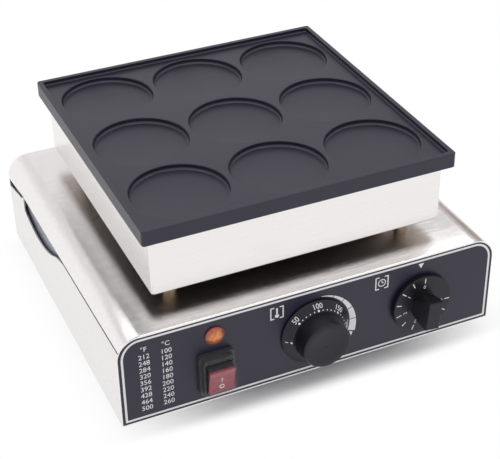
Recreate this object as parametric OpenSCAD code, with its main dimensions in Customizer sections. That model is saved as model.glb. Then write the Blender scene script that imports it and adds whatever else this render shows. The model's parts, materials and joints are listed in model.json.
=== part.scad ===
// Countertop pancake griddle: a square plate of round cups on a heater box, held on four
// posts above a stainless base with a front control panel.
// Millimetres, +Z up. The origin is on the table under the middle of the base, and the
// control panel faces -Y.

/* [Base housing] */
// Width of the base
base_w = 310; // [300:1:350]
// Depth of the base, from the panel's steel to the rear face
base_d = 282; // [276:1:330]
// Height of the base above the underside of its tray
base_h = 78; // [74:1:95]
// Outer radius of the two long top bends
bend_r = 18; // [8:0.5:22]
// Thickness of the stainless sheet
sheet_t = 1.2; // [0.8:0.1:1.6]
// Drop from the top of the cover to the seam at the front of each side
cover_drop = 10.5; // [10:0.5:18]
// Fall of the seam from the front to the rear relief
seam_fall = 4; // [0:0.5:6]
// Open seam between the cover and each side wall
seam_gap = 1; // [0.4:0.1:1.4]
// Width of the flanges folded inward inside the base
fold_w = 12; // [10:1:16]

/* [Side openings] */
// Radius of the arched finger opening in each side wall
arch_r = 100; // [80:5:130]
// Depth of the arch below the seam
arch_depth = 20; // [12:1:22]
// Radius of the flare at the front of the arch
arch_flare = 80; // [50:5:110]
// Lowest point of the arch, behind the middle of the base
arch_y = 59; // [50:1:66]
// Square rear end of the arch, behind the middle of the base
arch_rear_y = 95; // [85:1:97]
// Start of the sloping relief at the rear of each side wall, behind the middle
relief_y = 99; // [98:1:110]
// Depth of the relief at the rear corner
relief_depth = 12; // [9:1:16]
// Fall of the cover's edge above the relief
relief_cover = 6; // [0:0.5:7]
// Gap between the guard plates behind the openings and the side walls
guard_gap = 0.3; // [0.2:0.1:1]

/* [Feet] */
// Height of the rubber feet
foot_h = 9; // [8:0.5:16]
// Diameter of a foot where it meets the tray
foot_d = 24; // [18:1:30]
// Amount by which a foot narrows towards the table, on each side
foot_taper = 2; // [0:0.5:4]
// Distance of each foot's middle from the sides of the base
foot_inset = 36; // [30:1:45]
// Rubber left between the screw head and the tray
foot_web = 4; // [3:0.5:5]

/* [Posts] */
// Clear height between the base and the heater box
post_h = 14.5; // [10:0.5:30]
// Outside diameter of a post
post_d = 10; // [9:0.5:14]
// Distance of each post's middle from the sides of the heater box
post_inset = 21; // [18:0.5:24]

/* [Heater box] */
// Outside width and depth of the heater box
box_w = 236; // [232:1:244]
// Height of the heater box
box_h = 47.5; // [46:0.5:70]
// Outer radius of the box's upright corners
box_corner_r = 2.5; // [2:0.5:5]
// Width of the flange folded in at the top of the box
box_top_fold = 12; // [10:0.5:13]
// Width of the flange folded in at the bottom of the box
box_bottom_fold = 30; // [28:1:31]
// Thickness of the insulation board
insulation_t = 20; // [16:1:22]
// Thickness of the heat reflector
reflector_t = 0.6; // [0.4:0.1:1]

/* [Cooking plate] */
// Width and depth of the plate
plate_w = 250; // [248:1:270]
// Height of the plate's edge
plate_t = 12; // [10:0.5:16]
// Radius of the plate's upright corners
plate_corner_r = 2.5; // [1:0.5:6]
// Width of the raised rim
rim_w = 4; // [3:0.5:5]
// Height of the rim above the field
rim_h = 3.5; // [2:0.5:4]
// Diameter of a cup at its mouth
cup_d = 74; // [60:1:76]
// Distance between the middles of neighbouring cups
cup_pitch = 79; // [78:0.5:79.5]
// Depth of a cup's wall below the field
cup_depth = 4.5; // [4.3:0.1:6]
// Further depth of a cup's dished floor in its middle
cup_dish = 0.8; // [0.2:0.1:1.2]
// Radius at the foot of a cup's wall
cup_foot_r = 1.8; // [1:0.1:3]
// Radius at the foot of the rim's inner wall
rim_foot_r = 1.2; // [0.5:0.1:1.8]
// Chamfer along the top of the rim
rim_edge = 0.5; // [0.2:0.1:0.8]
// Chamfer at the mouth of a cup
cup_lip = 0.5; // [0.2:0.1:1]
// Thickening of the casting below its edge, inside the heater box
pad_t = 4; // [3:0.5:6]

/* [Heating element] */
// Diameter of the tubular element
element_d = 8; // [6.5:0.5:8.5]
// Distance between neighbouring runs of the element
element_pitch = 50; // [46:1:52]
// Length of a straight run
element_run = 140; // [130:1:142]
// Length of each unheated end
element_end = 15; // [10:1:16]
// Distance of the clamp bars from the middle
clamp_x = 45; // [44:1:48]
// Width of a clamp bar
clamp_w = 15; // [13:1:16]
// Thickness of a clamp bar
clamp_t = 2; // [1.5:0.5:3]
// Diameter of the studs in the plate
stud_d = 6; // [5:0.5:6.5]
// Depth of a stud in the casting
stud_seat = 5; // [4:0.5:6]

/* [Temperature sensor] */
// Diameter of the sensing bulb
bulb_d = 6; // [5:0.5:6.5]
// Length of the sensing bulb
bulb_l = 60; // [50:1:62]
// Distance of the bulb behind the middle
bulb_y = 11; // [10:0.5:12]
// Diameter of the capillary tube
capillary_d = 1.6; // [1.2:0.1:2]

/* [Front panel] */
// Thickness of the printed panel overlay
overlay_t = 0.4; // [0.2:0.1:0.6]
// Radius of the panel's bent top edge
panel_bend = 1.5; // [0.5:0.1:1.5]
// Steel left showing above the overlay
overlay_crown = 1.5; // [1.5:0.1:3]
// Steel left showing beside the overlay
overlay_margin = 0.5; // [0.3:0.1:1.4]
// Steel left showing below the overlay
overlay_foot = 1.5; // [0.3:0.1:3]
// Height of the thermostat's axis above the middle of the panel
thermostat_z = -0.5; // [-2:0.5:2]
// Sideways place of the thermostat dial
thermostat_x = 0; // [-6:1:6]
// Distance of the timer dial from the right side of the base
timer_x = 64; // [59:0.5:69]
// Height of the timer's axis above the middle of the panel
timer_z = -2.3; // [-4:0.1:2]
// Distance of the switch and the pilot lamp from the left side of the base
switch_x = 74; // [67:1:79]
// Height of the switch above the middle of the panel
switch_z = -10.5; // [-12:0.5:-9]
// Height of the pilot lamp above the middle of the panel
lamp_z = 22; // [20.5:0.5:24]

/* [Dials] */
// Diameter of the thermostat's conical dial
thermostat_dial_d = 56; // [52:1:60]
// Height of the dial's cone above its back face
skirt_h = 6.8; // [5:0.1:8]
// Width of the step between the cone and the foot of the grip
skirt_step = 1.2; // [0.5:0.1:2]
// Thickness of the cone's rim
skirt_edge = 1; // [0.6:0.1:1.5]
// Wall left between the cone's rim and the hollow in its back
skirt_wall = 5; // [4.5:0.5:7]
// Diameter of the thermostat grip at its front
grip_d = 38; // [32:1:40]
// Amount by which the grip widens towards the dial, on each side
grip_draft = 1; // [0:0.25:2]
// Reach of the thermostat grip in front of the panel
thermostat_reach = 22; // [18:0.5:26]
// Diameter of the timer dial
timer_dial_d = 50; // [46:0.5:56]
// Width of the timer's bar grip at its front
bar_w = 11.6; // [9:0.2:14]
// Length of the bar grip at its front
bar_l = 24.5; // [22:0.5:30]
// Diameter of the bar grip's round foot
bar_foot_d = 21; // [18:0.5:26]
// Reach of the bar grip in front of the panel
timer_reach = 22.7; // [20:0.1:28]
// Turn of the bar grip at rest, clockwise from upright
timer_rest = 5; // [0:1:15]
// Thickness of the timer dial
dial_t = 4; // [3.6:0.2:6]
// Chamfer round the front of the timer dial
dial_edge = 0.6; // [0.3:0.1:1]
// Wall left around the hollow back of the timer dial
dial_wall = 2.5; // [2:0.5:4]
// Depth of the hollow back of a dial
dial_hollow = 2.4; // [2.2:0.1:2.8]
// Diameter of the dial shafts
shaft_d = 6; // [5:0.5:7]
// Depth of a shaft in its dial
shaft_grip = 12; // [9:0.5:13]

/* [Control bodies] */
// Width of the thermostat body
thermostat_w = 38; // [36:1:44]
// Depth of the thermostat body
thermostat_depth = 30; // [26:1:34]
// Width of the timer body
timer_w = 48; // [44:1:50]
// Depth of the timer body
timer_depth = 36; // [30:1:40]
// Thickness of the mounting plates
mount_t = 1.5; // [1:0.1:2]
// Diameter of the threaded bushes
bush_d = 10; // [9:0.5:11]
// Reach of a bush in front of the panel
bush_reach = 2; // [1.5:0.1:2.2]
// Sideways distance of the mounting screws from a shaft
control_screw_x = 14; // [12:0.5:16]

/* [Switch] */
// Width of the switch bezel
switch_w = 28; // [28:0.5:30]
// Height of the switch bezel
switch_h = 36; // [35:0.5:38]
// Reach of the bezel's first step
bezel_step_1 = 4; // [3:0.5:4.5]
// Reach of the bezel's second step
bezel_step_2 = 8; // [7.5:0.5:9]
// Amount by which the second step stands back from the first, on each side
bezel_setback = 1.8; // [1:0.1:2]
// Width of the rocker
rocker_w = 20; // [18:0.5:20.5]
// Height of the rocker
rocker_h = 22; // [19:0.5:23]
// Reach of the rocker's middle in front of its pivot
rocker_reach = 7.8; // [7:0.1:8.5]
// Tilt of the rocker to either side
rocker_tilt = 9; // [5:0.5:10]
// Thickness of the rocker's cap at its ends
cap_t = 1.8; // [1.5:0.1:3]
// Reach of the rocker's pivot in front of the panel
pivot_reach = 5.2; // [5:0.1:5.5]
// Wall of the clear boot over the rocker
boot_t = 0.9; // [0.6:0.1:1.2]
// Depth of the switch body behind the panel
switch_depth = 24; // [20:1:28]
// Sideways distance of the rear tabs from the middle of the switch
tab_x = 5; // [4.5:0.5:6]
// Height of the rear tabs from the middle of the switch
tab_z = 8; // [7:0.5:9]

/* [Pilot lamp] */
// Diameter of the lamp's lens
lamp_d = 15; // [13:0.5:16]
// Height of the lens flange
lens_t = 1.2; // [0.8:0.1:2]
// Height of the lens dome above its flange
lens_dome = 3; // [2:0.25:5]
// Diameter of the lamp body
lamp_body_d = 11.8; // [10:0.2:12]
// Depth of the lamp body behind the panel
lamp_depth = 16; // [14:0.5:17]

/* [Mains inlet] */
// Distance of the cord gland from the left side of the base
gland_x = 60; // [45:1:70]
// Height of the cord gland above the underside of the base
gland_z = 32; // [28:1:40]
// Bore of the cord gland
gland_bore = 8.5; // [7:0.5:10]
// Diameter of the gland's thread
gland_thread_d = 16; // [14:0.5:18]
// Reach of the gland behind the rear panel
gland_reach = 23.1; // [18:0.1:30]
// Distance of the terminal block behind the middle
terminal_y = 96; // [90:1:105]
// Sideways place of the earth stud
earth_x = -30; // [-36:1:-20]
// Distance of the lead conduit from the left side of the heater box
conduit_x = 42; // [40:1:44]
// Distance of the lead conduit behind the middle
conduit_y = 50; // [48:1:51]
// Outside diameter of the lead conduit
conduit_d = 14; // [13:0.5:15]

/* [Clearances] */
// Radial gap of a turning shaft or a nut on its thread
running_gap = 0.05; // [0.02:0.01:0.09]
// Radial gap of a screw or a sleeve in its hole
hole_gap = 0.2; // [0.1:0.05:0.3]
// Gap of a round piece lying on its seat
seat_gap = 0.2; // [0.1:0.05:0.3]
// Gap between sheet pieces fitted inside each other
fit_gap = 0.5; // [0.3:0.1:0.8]
// Gap between a dial and the panel
dial_gap = 0.8; // [0.5:0.1:1.2]

/* [Hidden] */
$fn = 64;
eps = 1;

// Colours
steel = [0.80, 0.79, 0.77];
zinc = [0.66, 0.66, 0.68];
black = [0.12, 0.12, 0.14];
coated = [0.20, 0.20, 0.23];
panel_ink = [0.21, 0.20, 0.25];
rubber = [0.09, 0.09, 0.10];
red = [0.62, 0.16, 0.22];
amber = [0.85, 0.42, 0.15];
clear = [0.85, 0.88, 0.92, 0.35];
board = [0.88, 0.86, 0.80];
brass = [0.78, 0.62, 0.32];
ceramic = [0.90, 0.89, 0.85];

// Fasteners
m4 = 4;
m4_head_d = 7.6;
m4_head_h = 1.8;
m4_nut_af = 7;
m4_nut_h = 3.2;
m5 = 5;
m5_nut_af = 8;
m5_nut_h = 4;
m6 = 6;
m6_nut_af = 10;
m6_nut_h = 5;
m6_head_h = 4;
washer_d = 18;
washer_t = 1.5;
thread_end = 2;

// Levels and faces of the base
z_base = foot_h;
z_floor = z_base + sheet_t;
z_top = z_base + base_h;
z_ceiling = z_top - sheet_t;
z_seam = z_top - cover_drop;
y_front = -base_d / 2;
y_in = y_front + sheet_t;
y_face = y_front - overlay_t;
y_rear = base_d / 2;
y_rear_in = y_rear - sheet_t;
inner_d = y_rear_in - y_in;
z_arch = seam_z(arch_y) - arch_depth + arch_r;
z_flare = seam_z(arch_y - arch_r) - seam_gap - arch_flare;
flare_reach = sqrt(pow(arch_r + arch_flare, 2) - pow(z_arch - z_flare, 2));
flare_y = arch_y - flare_reach;
flare_touch = arch_y - flare_reach * arch_r / (arch_r + arch_flare);
fold_clear = 10;
fold_half = base_w / 2 - max(bend_r, fold_clear);

// Levels of the heater box and the plate
z_box = z_top + post_h;
z_pan = z_box + sheet_t;
z_pan_top = z_pan + sheet_t;
z_reflector = z_pan_top + insulation_t;
z_box_top = z_box + box_h;
z_plate = z_box_top + plate_t;
z_field = z_plate - rim_h;
z_pad = z_box_top - pad_t;
z_element = z_pad - seat_gap - element_d / 2;
z_clamp = z_pad - 2 * seat_gap - element_d - clamp_t;
post_x = box_w / 2 - post_inset;
liner_w = box_w - 2 * sheet_t - 2 * fit_gap;
pad_gap = 3;
pad_w = box_w - 2 * box_top_fold - 2 * pad_gap;
stud_y = element_pitch;
clamp_over = 15;
clamp_half = 1.5 * element_pitch + clamp_over;
pin_d = 4;
pin_l = 8;
x_pin = -element_run / 2 - element_end - pin_l;

// Controls
z_middle = z_base + base_h / 2;
z_thermostat = z_middle + thermostat_z;
z_timer = z_middle + timer_z;
z_switch = z_middle + switch_z;
z_lamp = z_middle + lamp_z;
x_timer = base_w / 2 - timer_x;
x_switch = switch_x - base_w / 2;
control_tab_x = 8;
tab_w = 6.3;
tab_t = 0.8;
tab_l = 10;
y_switch_tab = y_face + switch_depth + tab_l;
y_lamp_tab = y_face + lamp_depth + tab_w;
y_thermostat_tab = y_in + mount_t + thermostat_depth + tab_l;
y_timer_tab = y_in + mount_t + timer_depth + tab_l;
shaft_seat = 12;
shaft_end_gap = 0.5;
boot_gap = 0.5;
boot_ledge = 0.6;
opening_w = rocker_w + 2 * boot_gap;
rocker_swing = rocker_h / 2 * cos(rocker_tilt) + rocker_reach * sin(rocker_tilt);
rocker_front = pivot_reach + rocker_reach * cos(rocker_tilt) + rocker_h / 2 * sin(rocker_tilt);
opening_h = 2 * (rocker_swing + boot_gap);
boot_front = rocker_front + boot_gap + boot_t;
rocker_back = 6;
pivot_d = 3;
pivot_l = 1.2;
pivot_end_gap = 0.1;
switch_body_w = 23.5;
switch_body_h = 29.5;

// Mains pieces and wiring
x_gland = gland_x - base_w / 2;
x_conduit = conduit_x - box_w / 2;
conduit_wall = 1.5;
conduit_bore = conduit_d - 2 * conduit_wall;
conduit_nut_d = 22;
conduit_nut_t = 4;
conduit_drop = 10;
conduit_rise = 3;
terminal_x = x_switch + tab_x;
pole_pitch = 2 * tab_x;
terminal_w = 46;
terminal_d = 22;
terminal_h = 16;
terminal_hole_x = 18;
z_pole = z_floor + terminal_h / 2;
earth_gap = 22;
earth_y = terminal_y - terminal_d / 2 - earth_gap;
earth_l = 16;
wire_d = 3;
wire_bend = 4;
tight_bend = 2.5;
wire_room = 12;
wire_drop = 16;
lead_side = 2.5;
lead_turn = 11;
wire_ref = [1, 1, 1];
rear_screw_inset = 45;
rear_screw_x = base_w / 2 - rear_screw_inset;
vent_l = 46;
vent_w = 5;
vent_pitch = 11;
vent_count = 5;
vent_x = 62;
rear_vent_x = 31;

// Shared shapes

// Extrudes an outline drawn in X and Z from y0 along +Y
module along_y(y0, length) {
    translate([0, y0 + length, 0]) rotate([90, 0, 0]) linear_extrude(length) children();
}

// Extrudes an outline drawn in Y and Z from x0 along +X
module along_x(x0, length) {
    translate([x0, 0, 0]) rotate([90, 0, 90]) linear_extrude(length) children();
}

// Places a piece drawn along +Z so that it stands out of the panel at x and z, from y towards -Y
module facing_front(x, y, z) {
    translate([x, y, z]) rotate([90, 0, 0]) children();
}

module round_rect(w, h, r) {
    union() {
        square([w - 2 * r, h], center = true);
        square([w, h - 2 * r], center = true);
        for (sx = [-1, 1], sy = [-1, 1]) translate([sx * (w / 2 - r), sy * (h / 2 - r)]) circle(r);
    }
}

// Cross-section of the base above the underside of its tray: round top corners, square foot,
// drawn in by inset at the sides, by crown at the top and by lift at the foot
module house_outline(inset = 0, crown = 0, lift = 0) {
    w = base_w / 2 - inset;
    h = base_h - crown;
    r = bend_r - max(inset, crown);
    translate([-w, lift]) square([2 * w, h - r - lift]);
    translate([r - w, lift]) square([2 * (w - r), h - lift]);
    for (s = [-1, 1]) translate([s * (w - r), h - r]) circle(r);
}

module slot_outline(length, width) {
    square([length - width, width], center = true);
    for (s = [-1, 1]) translate([s * (length - width) / 2, 0]) circle(d = width);
}

module hex_nut(af, bore, h) {
    difference() {
        cylinder(d = af / cos(30), h = h, $fn = 6);
        translate([0, 0, -eps]) cylinder(d = bore + 2 * running_gap, h = h + 2 * eps);
    }
}

// Pan-head screw: its head stands on z = 0 and its shank goes down
module pan_screw(d, head_d, head_h, length) {
    cylinder(d = head_d, h = head_h);
    translate([0, 0, -length]) cylinder(d = d, h = length);
}

module at_posts() {
    for (sx = [-1, 1], sy = [-1, 1]) translate([sx * post_x, sy * post_x, 0]) children();
}

module at_feet() {
    for (sx = [-1, 1], sy = [-1, 1])
        translate([sx * (base_w / 2 - foot_inset), sy * (base_d / 2 - foot_inset), 0]) children();
}

module at_studs() {
    for (sx = [-1, 1], sy = [-1, 0, 1]) translate([sx * clamp_x, sy * stud_y, 0]) children();
}

// Screw places in the middle of the rear folds of the cover and the tray
module at_rear_screws() {
    for (sx = [-1, 1], z = [z_floor + fold_w / 2, z_ceiling - fold_w / 2])
        translate([sx * rear_screw_x, 0, z]) children();
}

module at_conduit() {
    translate([x_conduit, conduit_y, 0]) children();
}

module vent_rows() {
    for (s = [-1, 1], i = [0 : vent_count - 1])
        translate([s * vent_x, (i - (vent_count - 1) / 2) * vent_pitch]) slot_outline(vent_l, vent_w);
}

// Wire along a route whose inner corners are quadratic curves

function unit(v) = v / norm(v);

function round_route(p, bend, steps) = [
    p[0],
    for (i = [1 : len(p) - 2])
        let (a = p[i] + unit(p[i - 1] - p[i]) * bend, b = p[i] + unit(p[i + 1] - p[i]) * bend)
        for (k = [0 : steps])
            let (t = k / steps) (1 - t) * (1 - t) * a + 2 * t * (1 - t) * p[i] + t * t * b,
    p[len(p) - 1]
];

function tangent(p, i) = unit(p[min(i + 1, len(p) - 1)] - p[max(i - 1, 0)]);

function ring(centre, along, r, sides) =
    let (u = unit(cross(along, wire_ref)), v = cross(along, u))
    [for (k = [0 : sides - 1]) centre + r * (cos(360 * k / sides) * u + sin(360 * k / sides) * v)];

module wire(route, d, bend = wire_bend, steps = 3, sides = 8) {
    p = round_route(route, bend, steps);
    n = len(p);
    skin = [
        for (i = [0 : n - 2], k = [0 : sides - 1])
            let (a = i * sides + k, b = i * sides + (k + 1) % sides)
            each [[a, a + sides, b + sides], [a, b + sides, b]]
    ];
    caps = [[for (k = [0 : sides - 1]) k], [for (k = [0 : sides - 1]) n * sides - 1 - k]];
    polyhedron([for (i = [0 : n - 1]) each ring(p[i], tangent(p, i), d / 2, sides)],
        concat(skin, caps), convexity = 6);
}

// Base housing

// Height of the seam below the cover's edge, which falls towards the rear
function seam_z(y) = z_seam - seam_fall * (y - y_in) / (relief_y - y_in);

// Sheet that wraps the sides and the top of the base
module house_shell() {
    along_y(y_in, inner_d) translate([0, z_base]) difference() {
        house_outline();
        house_outline(sheet_t, sheet_t);
    }
}

// Space over a line that runs the given distance below the cover's side edges
module over_seam(lower) {
    z_back = seam_z(relief_y) - lower;
    along_x(-base_w, 2 * base_w) polygon([
        [y_in - eps, z_seam - lower], [relief_y, z_back], [y_rear, z_back - relief_cover],
        [y_rear, z_top + eps], [y_in - eps, z_top + eps]
    ]);
}

module top_cover() {
    color(steel) difference() {
        union() {
            intersection() {
                house_shell();
                over_seam(0);
            }
            cover_guards();
            translate([-fold_half, y_rear_in - sheet_t, z_ceiling - fold_w])
                cube([2 * fold_half, sheet_t, fold_w + sheet_t / 2]);
        }
        at_posts() translate([0, 0, z_ceiling - eps])
            cylinder(d = m6 + 2 * hole_gap, h = sheet_t + 2 * eps);
        at_conduit() translate([0, 0, z_ceiling - eps])
            cylinder(d = conduit_d + 2 * hole_gap, h = sheet_t + 2 * eps);
        rear_screw_holes();
    }
}

// Plates that hang inside the cover behind the side openings, each on a narrow web
module cover_guards() {
    over = 3;
    web_rise = 0.8;
    drop_below = 5;
    bend_in = bend_r - sheet_t;
    seam_up = max(0, bend_r - cover_drop);
    x_guard = base_w / 2 - bend_r + sqrt(bend_in * bend_in - seam_up * seam_up) - guard_gap - sheet_t;
    web_w = base_w / 2 - x_guard;
    z_low = seam_z(arch_y) - arch_depth - drop_below;
    z_web = z_seam + web_rise;
    y_start = flare_y - over;
    y_end = y_rear_in - over;
    intersection() {
        along_y(y_start, y_end - y_start) translate([0, z_base]) house_outline(sheet_t / 2, sheet_t / 2);
        for (s = [-1, 1]) {
            translate([s * (x_guard + sheet_t / 2) - sheet_t / 2, y_start - eps, z_low])
                cube([sheet_t, y_end - y_start + 2 * eps, z_web + sheet_t - z_low]);
            translate([s * (x_guard + web_w / 2) - web_w / 2, y_start - eps, z_web])
                cube([web_w, y_end - y_start + 2 * eps, sheet_t]);
        }
    }
}

module rear_screw_holes() {
    at_rear_screws() translate([0, y_rear + eps, 0]) rotate([90, 0, 0])
        cylinder(d = m4 + 2 * hole_gap, h = 2 * sheet_t + 2 * eps);
}

module base_tray() {
    color(steel) difference() {
        union() {
            translate([-base_w / 2, y_in, z_base]) cube([base_w, inner_d, sheet_t]);
            difference() {
                house_shell();
                over_seam(seam_gap);
            }
            translate([-fold_half, y_rear_in - sheet_t, z_base])
                cube([2 * fold_half, sheet_t, sheet_t + fold_w]);
        }
        side_cuts();
        rear_screw_holes();
        at_feet() translate([0, 0, z_base - eps])
            cylinder(d = m4 + 2 * hole_gap, h = sheet_t + 2 * eps);
        at_terminal_screws() translate([0, 0, z_base - eps])
            cylinder(d = m4 + 2 * hole_gap, h = sheet_t + 2 * eps);
        translate([0, 0, z_base - eps]) linear_extrude(sheet_t + 2 * eps) vent_rows();
    }
}

// Arched openings with a flare at the front, and the sloping reliefs behind them, through both walls
module side_cuts() {
    relief_step = 2;
    flare_steps = 10;
    flare_run = 0.95 * (flare_touch - flare_y);
    z_back = seam_z(relief_y) - seam_gap;
    along_x(-base_w, 2 * base_w) {
        difference() {
            translate([arch_y, z_arch]) circle(arch_r);
            translate([arch_rear_y, z_base]) square([2 * arch_r, 4 * arch_r]);
        }
        polygon([
            for (k = [0 : flare_steps]) let (along = flare_run * k / flare_steps)
                [flare_y + along, z_flare + sqrt(arch_flare * arch_flare - along * along)],
            [arch_y, z_arch - arch_r / 2], [arch_y, z_top], [flare_y, z_top]
        ]);
        polygon([
            [relief_y, z_back - relief_step], [y_rear, z_back - relief_depth],
            [y_rear, z_top], [relief_y, z_top]
        ]);
    }
}

module front_panel() {
    color(steel) difference() {
        union() {
            along_y(y_front, sheet_t) translate([0, z_base]) house_outline();
            for (z = [z_floor, z_ceiling - sheet_t])
                translate([-fold_half, y_in - sheet_t / 2, z])
                    cube([2 * fold_half, fold_w + sheet_t / 2, sheet_t]);
        }
        panel_holes();
        panel_top_bend();
    }
}

// Corner taken off the straight part of the panel's top edge
module panel_top_bend() {
    half = base_w / 2 - bend_r;
    along_x(-half, 2 * half) difference() {
        translate([y_front - eps, z_top - panel_bend]) square(panel_bend + eps);
        translate([y_front + panel_bend, z_top - panel_bend]) circle(panel_bend);
    }
}

module panel_overlay() {
    color(panel_ink) difference() {
        along_y(y_face, overlay_t) translate([0, z_base])
            house_outline(overlay_margin, overlay_crown, overlay_foot);
        panel_holes();
    }
}

// Holes through the panel and its overlay for the controls
module panel_holes() {
    depth = sheet_t + overlay_t + 2 * eps;
    for (axis = [[thermostat_x, z_thermostat], [x_timer, z_timer]])
        facing_front(axis.x, y_in + eps, axis.y) {
            cylinder(d = bush_d + 2 * hole_gap, h = depth);
            for (s = [-1, 1]) translate([s * control_screw_x, 0, 0])
                cylinder(d = m4 + 2 * hole_gap, h = depth);
        }
    facing_front(x_switch, y_in + eps, z_switch) linear_extrude(depth)
        square([switch_body_w + 2 * hole_gap, switch_body_h + 2 * hole_gap], center = true);
    facing_front(x_switch, y_in + eps, z_lamp) cylinder(d = lamp_body_d + 2 * hole_gap, h = depth);
}

module rear_panel() {
    color(steel) difference() {
        along_y(y_rear_in, sheet_t) translate([0, z_base]) difference() {
            house_outline();
            translate([rear_vent_x, base_h / 2]) vent_rows_rear();
        }
        rear_screw_holes();
        translate([x_gland, y_rear + eps, z_base + gland_z]) rotate([90, 0, 0])
            cylinder(d = gland_thread_d + 2 * hole_gap, h = sheet_t + 2 * eps);
    }
}

// One block of slots beside the cord gland
module vent_rows_rear() {
    rows = floor((base_h - 2 * fold_w - vent_pitch) / vent_pitch);
    for (i = [0 : rows - 1])
        translate([0, (i - (rows - 1) / 2) * vent_pitch]) slot_outline(2 * vent_l, vent_w);
}

module rear_screws() {
    color(zinc) at_rear_screws() translate([0, y_rear, 0]) rotate([-90, 0, 0])
        pan_screw(m4, m4_head_d, m4_head_h, 2 * sheet_t + thread_end);
}

module rubber_feet() {
    color(rubber) at_feet() difference() {
        cylinder(d1 = foot_d - 2 * foot_taper, d2 = foot_d, h = foot_h);
        translate([0, 0, -eps])
            cylinder(d = m4_head_d + 2 * fit_gap, h = foot_h - foot_web + eps);
        cylinder(d = m4 + 2 * hole_gap, h = foot_h + eps);
    }
}

module foot_screws() {
    color(zinc) at_feet() translate([0, 0, foot_h - foot_web]) mirror([0, 0, 1])
        pan_screw(m4, m4_head_d, m4_head_h, foot_web + sheet_t + m4_nut_h + thread_end);
}

module foot_nuts() {
    color(zinc) at_feet() translate([0, 0, z_floor]) hex_nut(m4_nut_af, m4, m4_nut_h);
}

// Posts between the base and the heater box

module support_posts() {
    color(zinc) at_posts() translate([0, 0, z_top]) difference() {
        cylinder(d = post_d, h = post_h);
        translate([0, 0, -eps]) cylinder(d = m6 + 2 * hole_gap, h = post_h + 2 * eps);
    }
}

module post_bolts() {
    z_seat = z_ceiling - washer_t;
    color(zinc) at_posts() {
        translate([0, 0, z_seat - m6_head_h]) cylinder(d = m6_nut_af / cos(30), h = m6_head_h, $fn = 6);
        translate([0, 0, z_seat]) cylinder(d = m6, h = z_pan_top + m6_nut_h + thread_end - z_seat);
    }
}

module post_washers() {
    color(zinc) at_posts() translate([0, 0, z_ceiling - washer_t]) difference() {
        cylinder(d = washer_d, h = washer_t);
        translate([0, 0, -eps]) cylinder(d = m6 + 2 * hole_gap, h = washer_t + 2 * eps);
    }
}

module post_nuts() {
    color(zinc) at_posts() translate([0, 0, z_pan_top]) hex_nut(m6_nut_af, m6, m6_nut_h);
}

// Heater box

module heater_skirt() {
    color(steel) difference() {
        translate([0, 0, z_box]) linear_extrude(box_h) round_rect(box_w, box_w, box_corner_r);
        translate([0, 0, z_pan]) linear_extrude(box_h - 2 * sheet_t)
            square(box_w - 2 * sheet_t, center = true);
        translate([0, 0, z_box - eps]) linear_extrude(sheet_t + 2 * eps)
            square(box_w - 2 * box_bottom_fold, center = true);
        translate([0, 0, z_box_top - sheet_t - eps]) linear_extrude(sheet_t + 2 * eps)
            square(box_w - 2 * box_top_fold, center = true);
        at_posts() translate([0, 0, z_box - eps])
            cylinder(d = m6 + 2 * hole_gap, h = sheet_t + 2 * eps);
    }
}

// Square sheet that fits inside the box, with holes for the post nuts and the lead conduit
module box_liner(z, t, post_hole, conduit_hole) {
    translate([0, 0, z]) linear_extrude(t) difference() {
        square(liner_w, center = true);
        if (post_hole > 0) at_posts() circle(d = post_hole);
        at_conduit() circle(d = conduit_hole);
    }
}

module heater_floor() {
    color(steel) box_liner(z_pan, sheet_t, m6 + 2 * hole_gap, conduit_d + 2 * hole_gap);
}

module insulation_board() {
    color(board)
        box_liner(z_pan_top, insulation_t, m6_nut_af / cos(30) + 2 * fit_gap, conduit_nut_d + 2 * fit_gap);
}

module heat_reflector() {
    color(zinc) box_liner(z_reflector, reflector_t, 0, conduit_d + 2 * hole_gap);
}

// Four straight runs joined by half-turn bends, with both unheated ends on the left
module heating_element() {
    color(zinc) translate([0, 0, z_element]) {
        for (i = [1, 2]) translate([-element_run / 2, (i - 1.5) * element_pitch, 0])
            rotate([0, 90, 0]) cylinder(d = element_d, h = element_run);
        for (y = [-element_pitch, element_pitch]) translate([element_run / 2, y, 0])
            rotate([0, 0, -90]) element_bend();
        translate([-element_run / 2, 0, 0]) rotate([0, 0, 90]) element_bend();
        for (s = [-1, 1]) translate([0, s * 1.5 * element_pitch, 0]) rotate([0, 90, 0]) {
            translate([0, 0, x_pin]) cylinder(d = pin_d, h = pin_l + element_end);
            translate([0, 0, -element_run / 2 - element_end])
                cylinder(d = element_d, h = element_run + element_end);
        }
    }
}

module element_bend() {
    rotate_extrude(angle = 180) translate([element_pitch / 2, 0]) circle(d = element_d);
}

module element_clamps() {
    color(zinc) difference() {
        for (s = [-1, 1]) translate([s * clamp_x - clamp_w / 2, -clamp_half, z_clamp])
            cube([clamp_w, 2 * clamp_half, clamp_t]);
        at_studs() translate([0, 0, z_clamp - eps])
            cylinder(d = stud_d + 2 * hole_gap, h = clamp_t + 2 * eps);
    }
}

module clamp_studs() {
    z_end = z_clamp - m6_nut_h - thread_end;
    color(zinc) at_studs() translate([0, 0, z_end]) cylinder(d = stud_d, h = z_pad + stud_seat - z_end);
}

module clamp_nuts() {
    color(zinc) at_studs() translate([0, 0, z_clamp - m6_nut_h]) hex_nut(m6_nut_af, stud_d, m6_nut_h);
}

// Cooking plate

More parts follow.
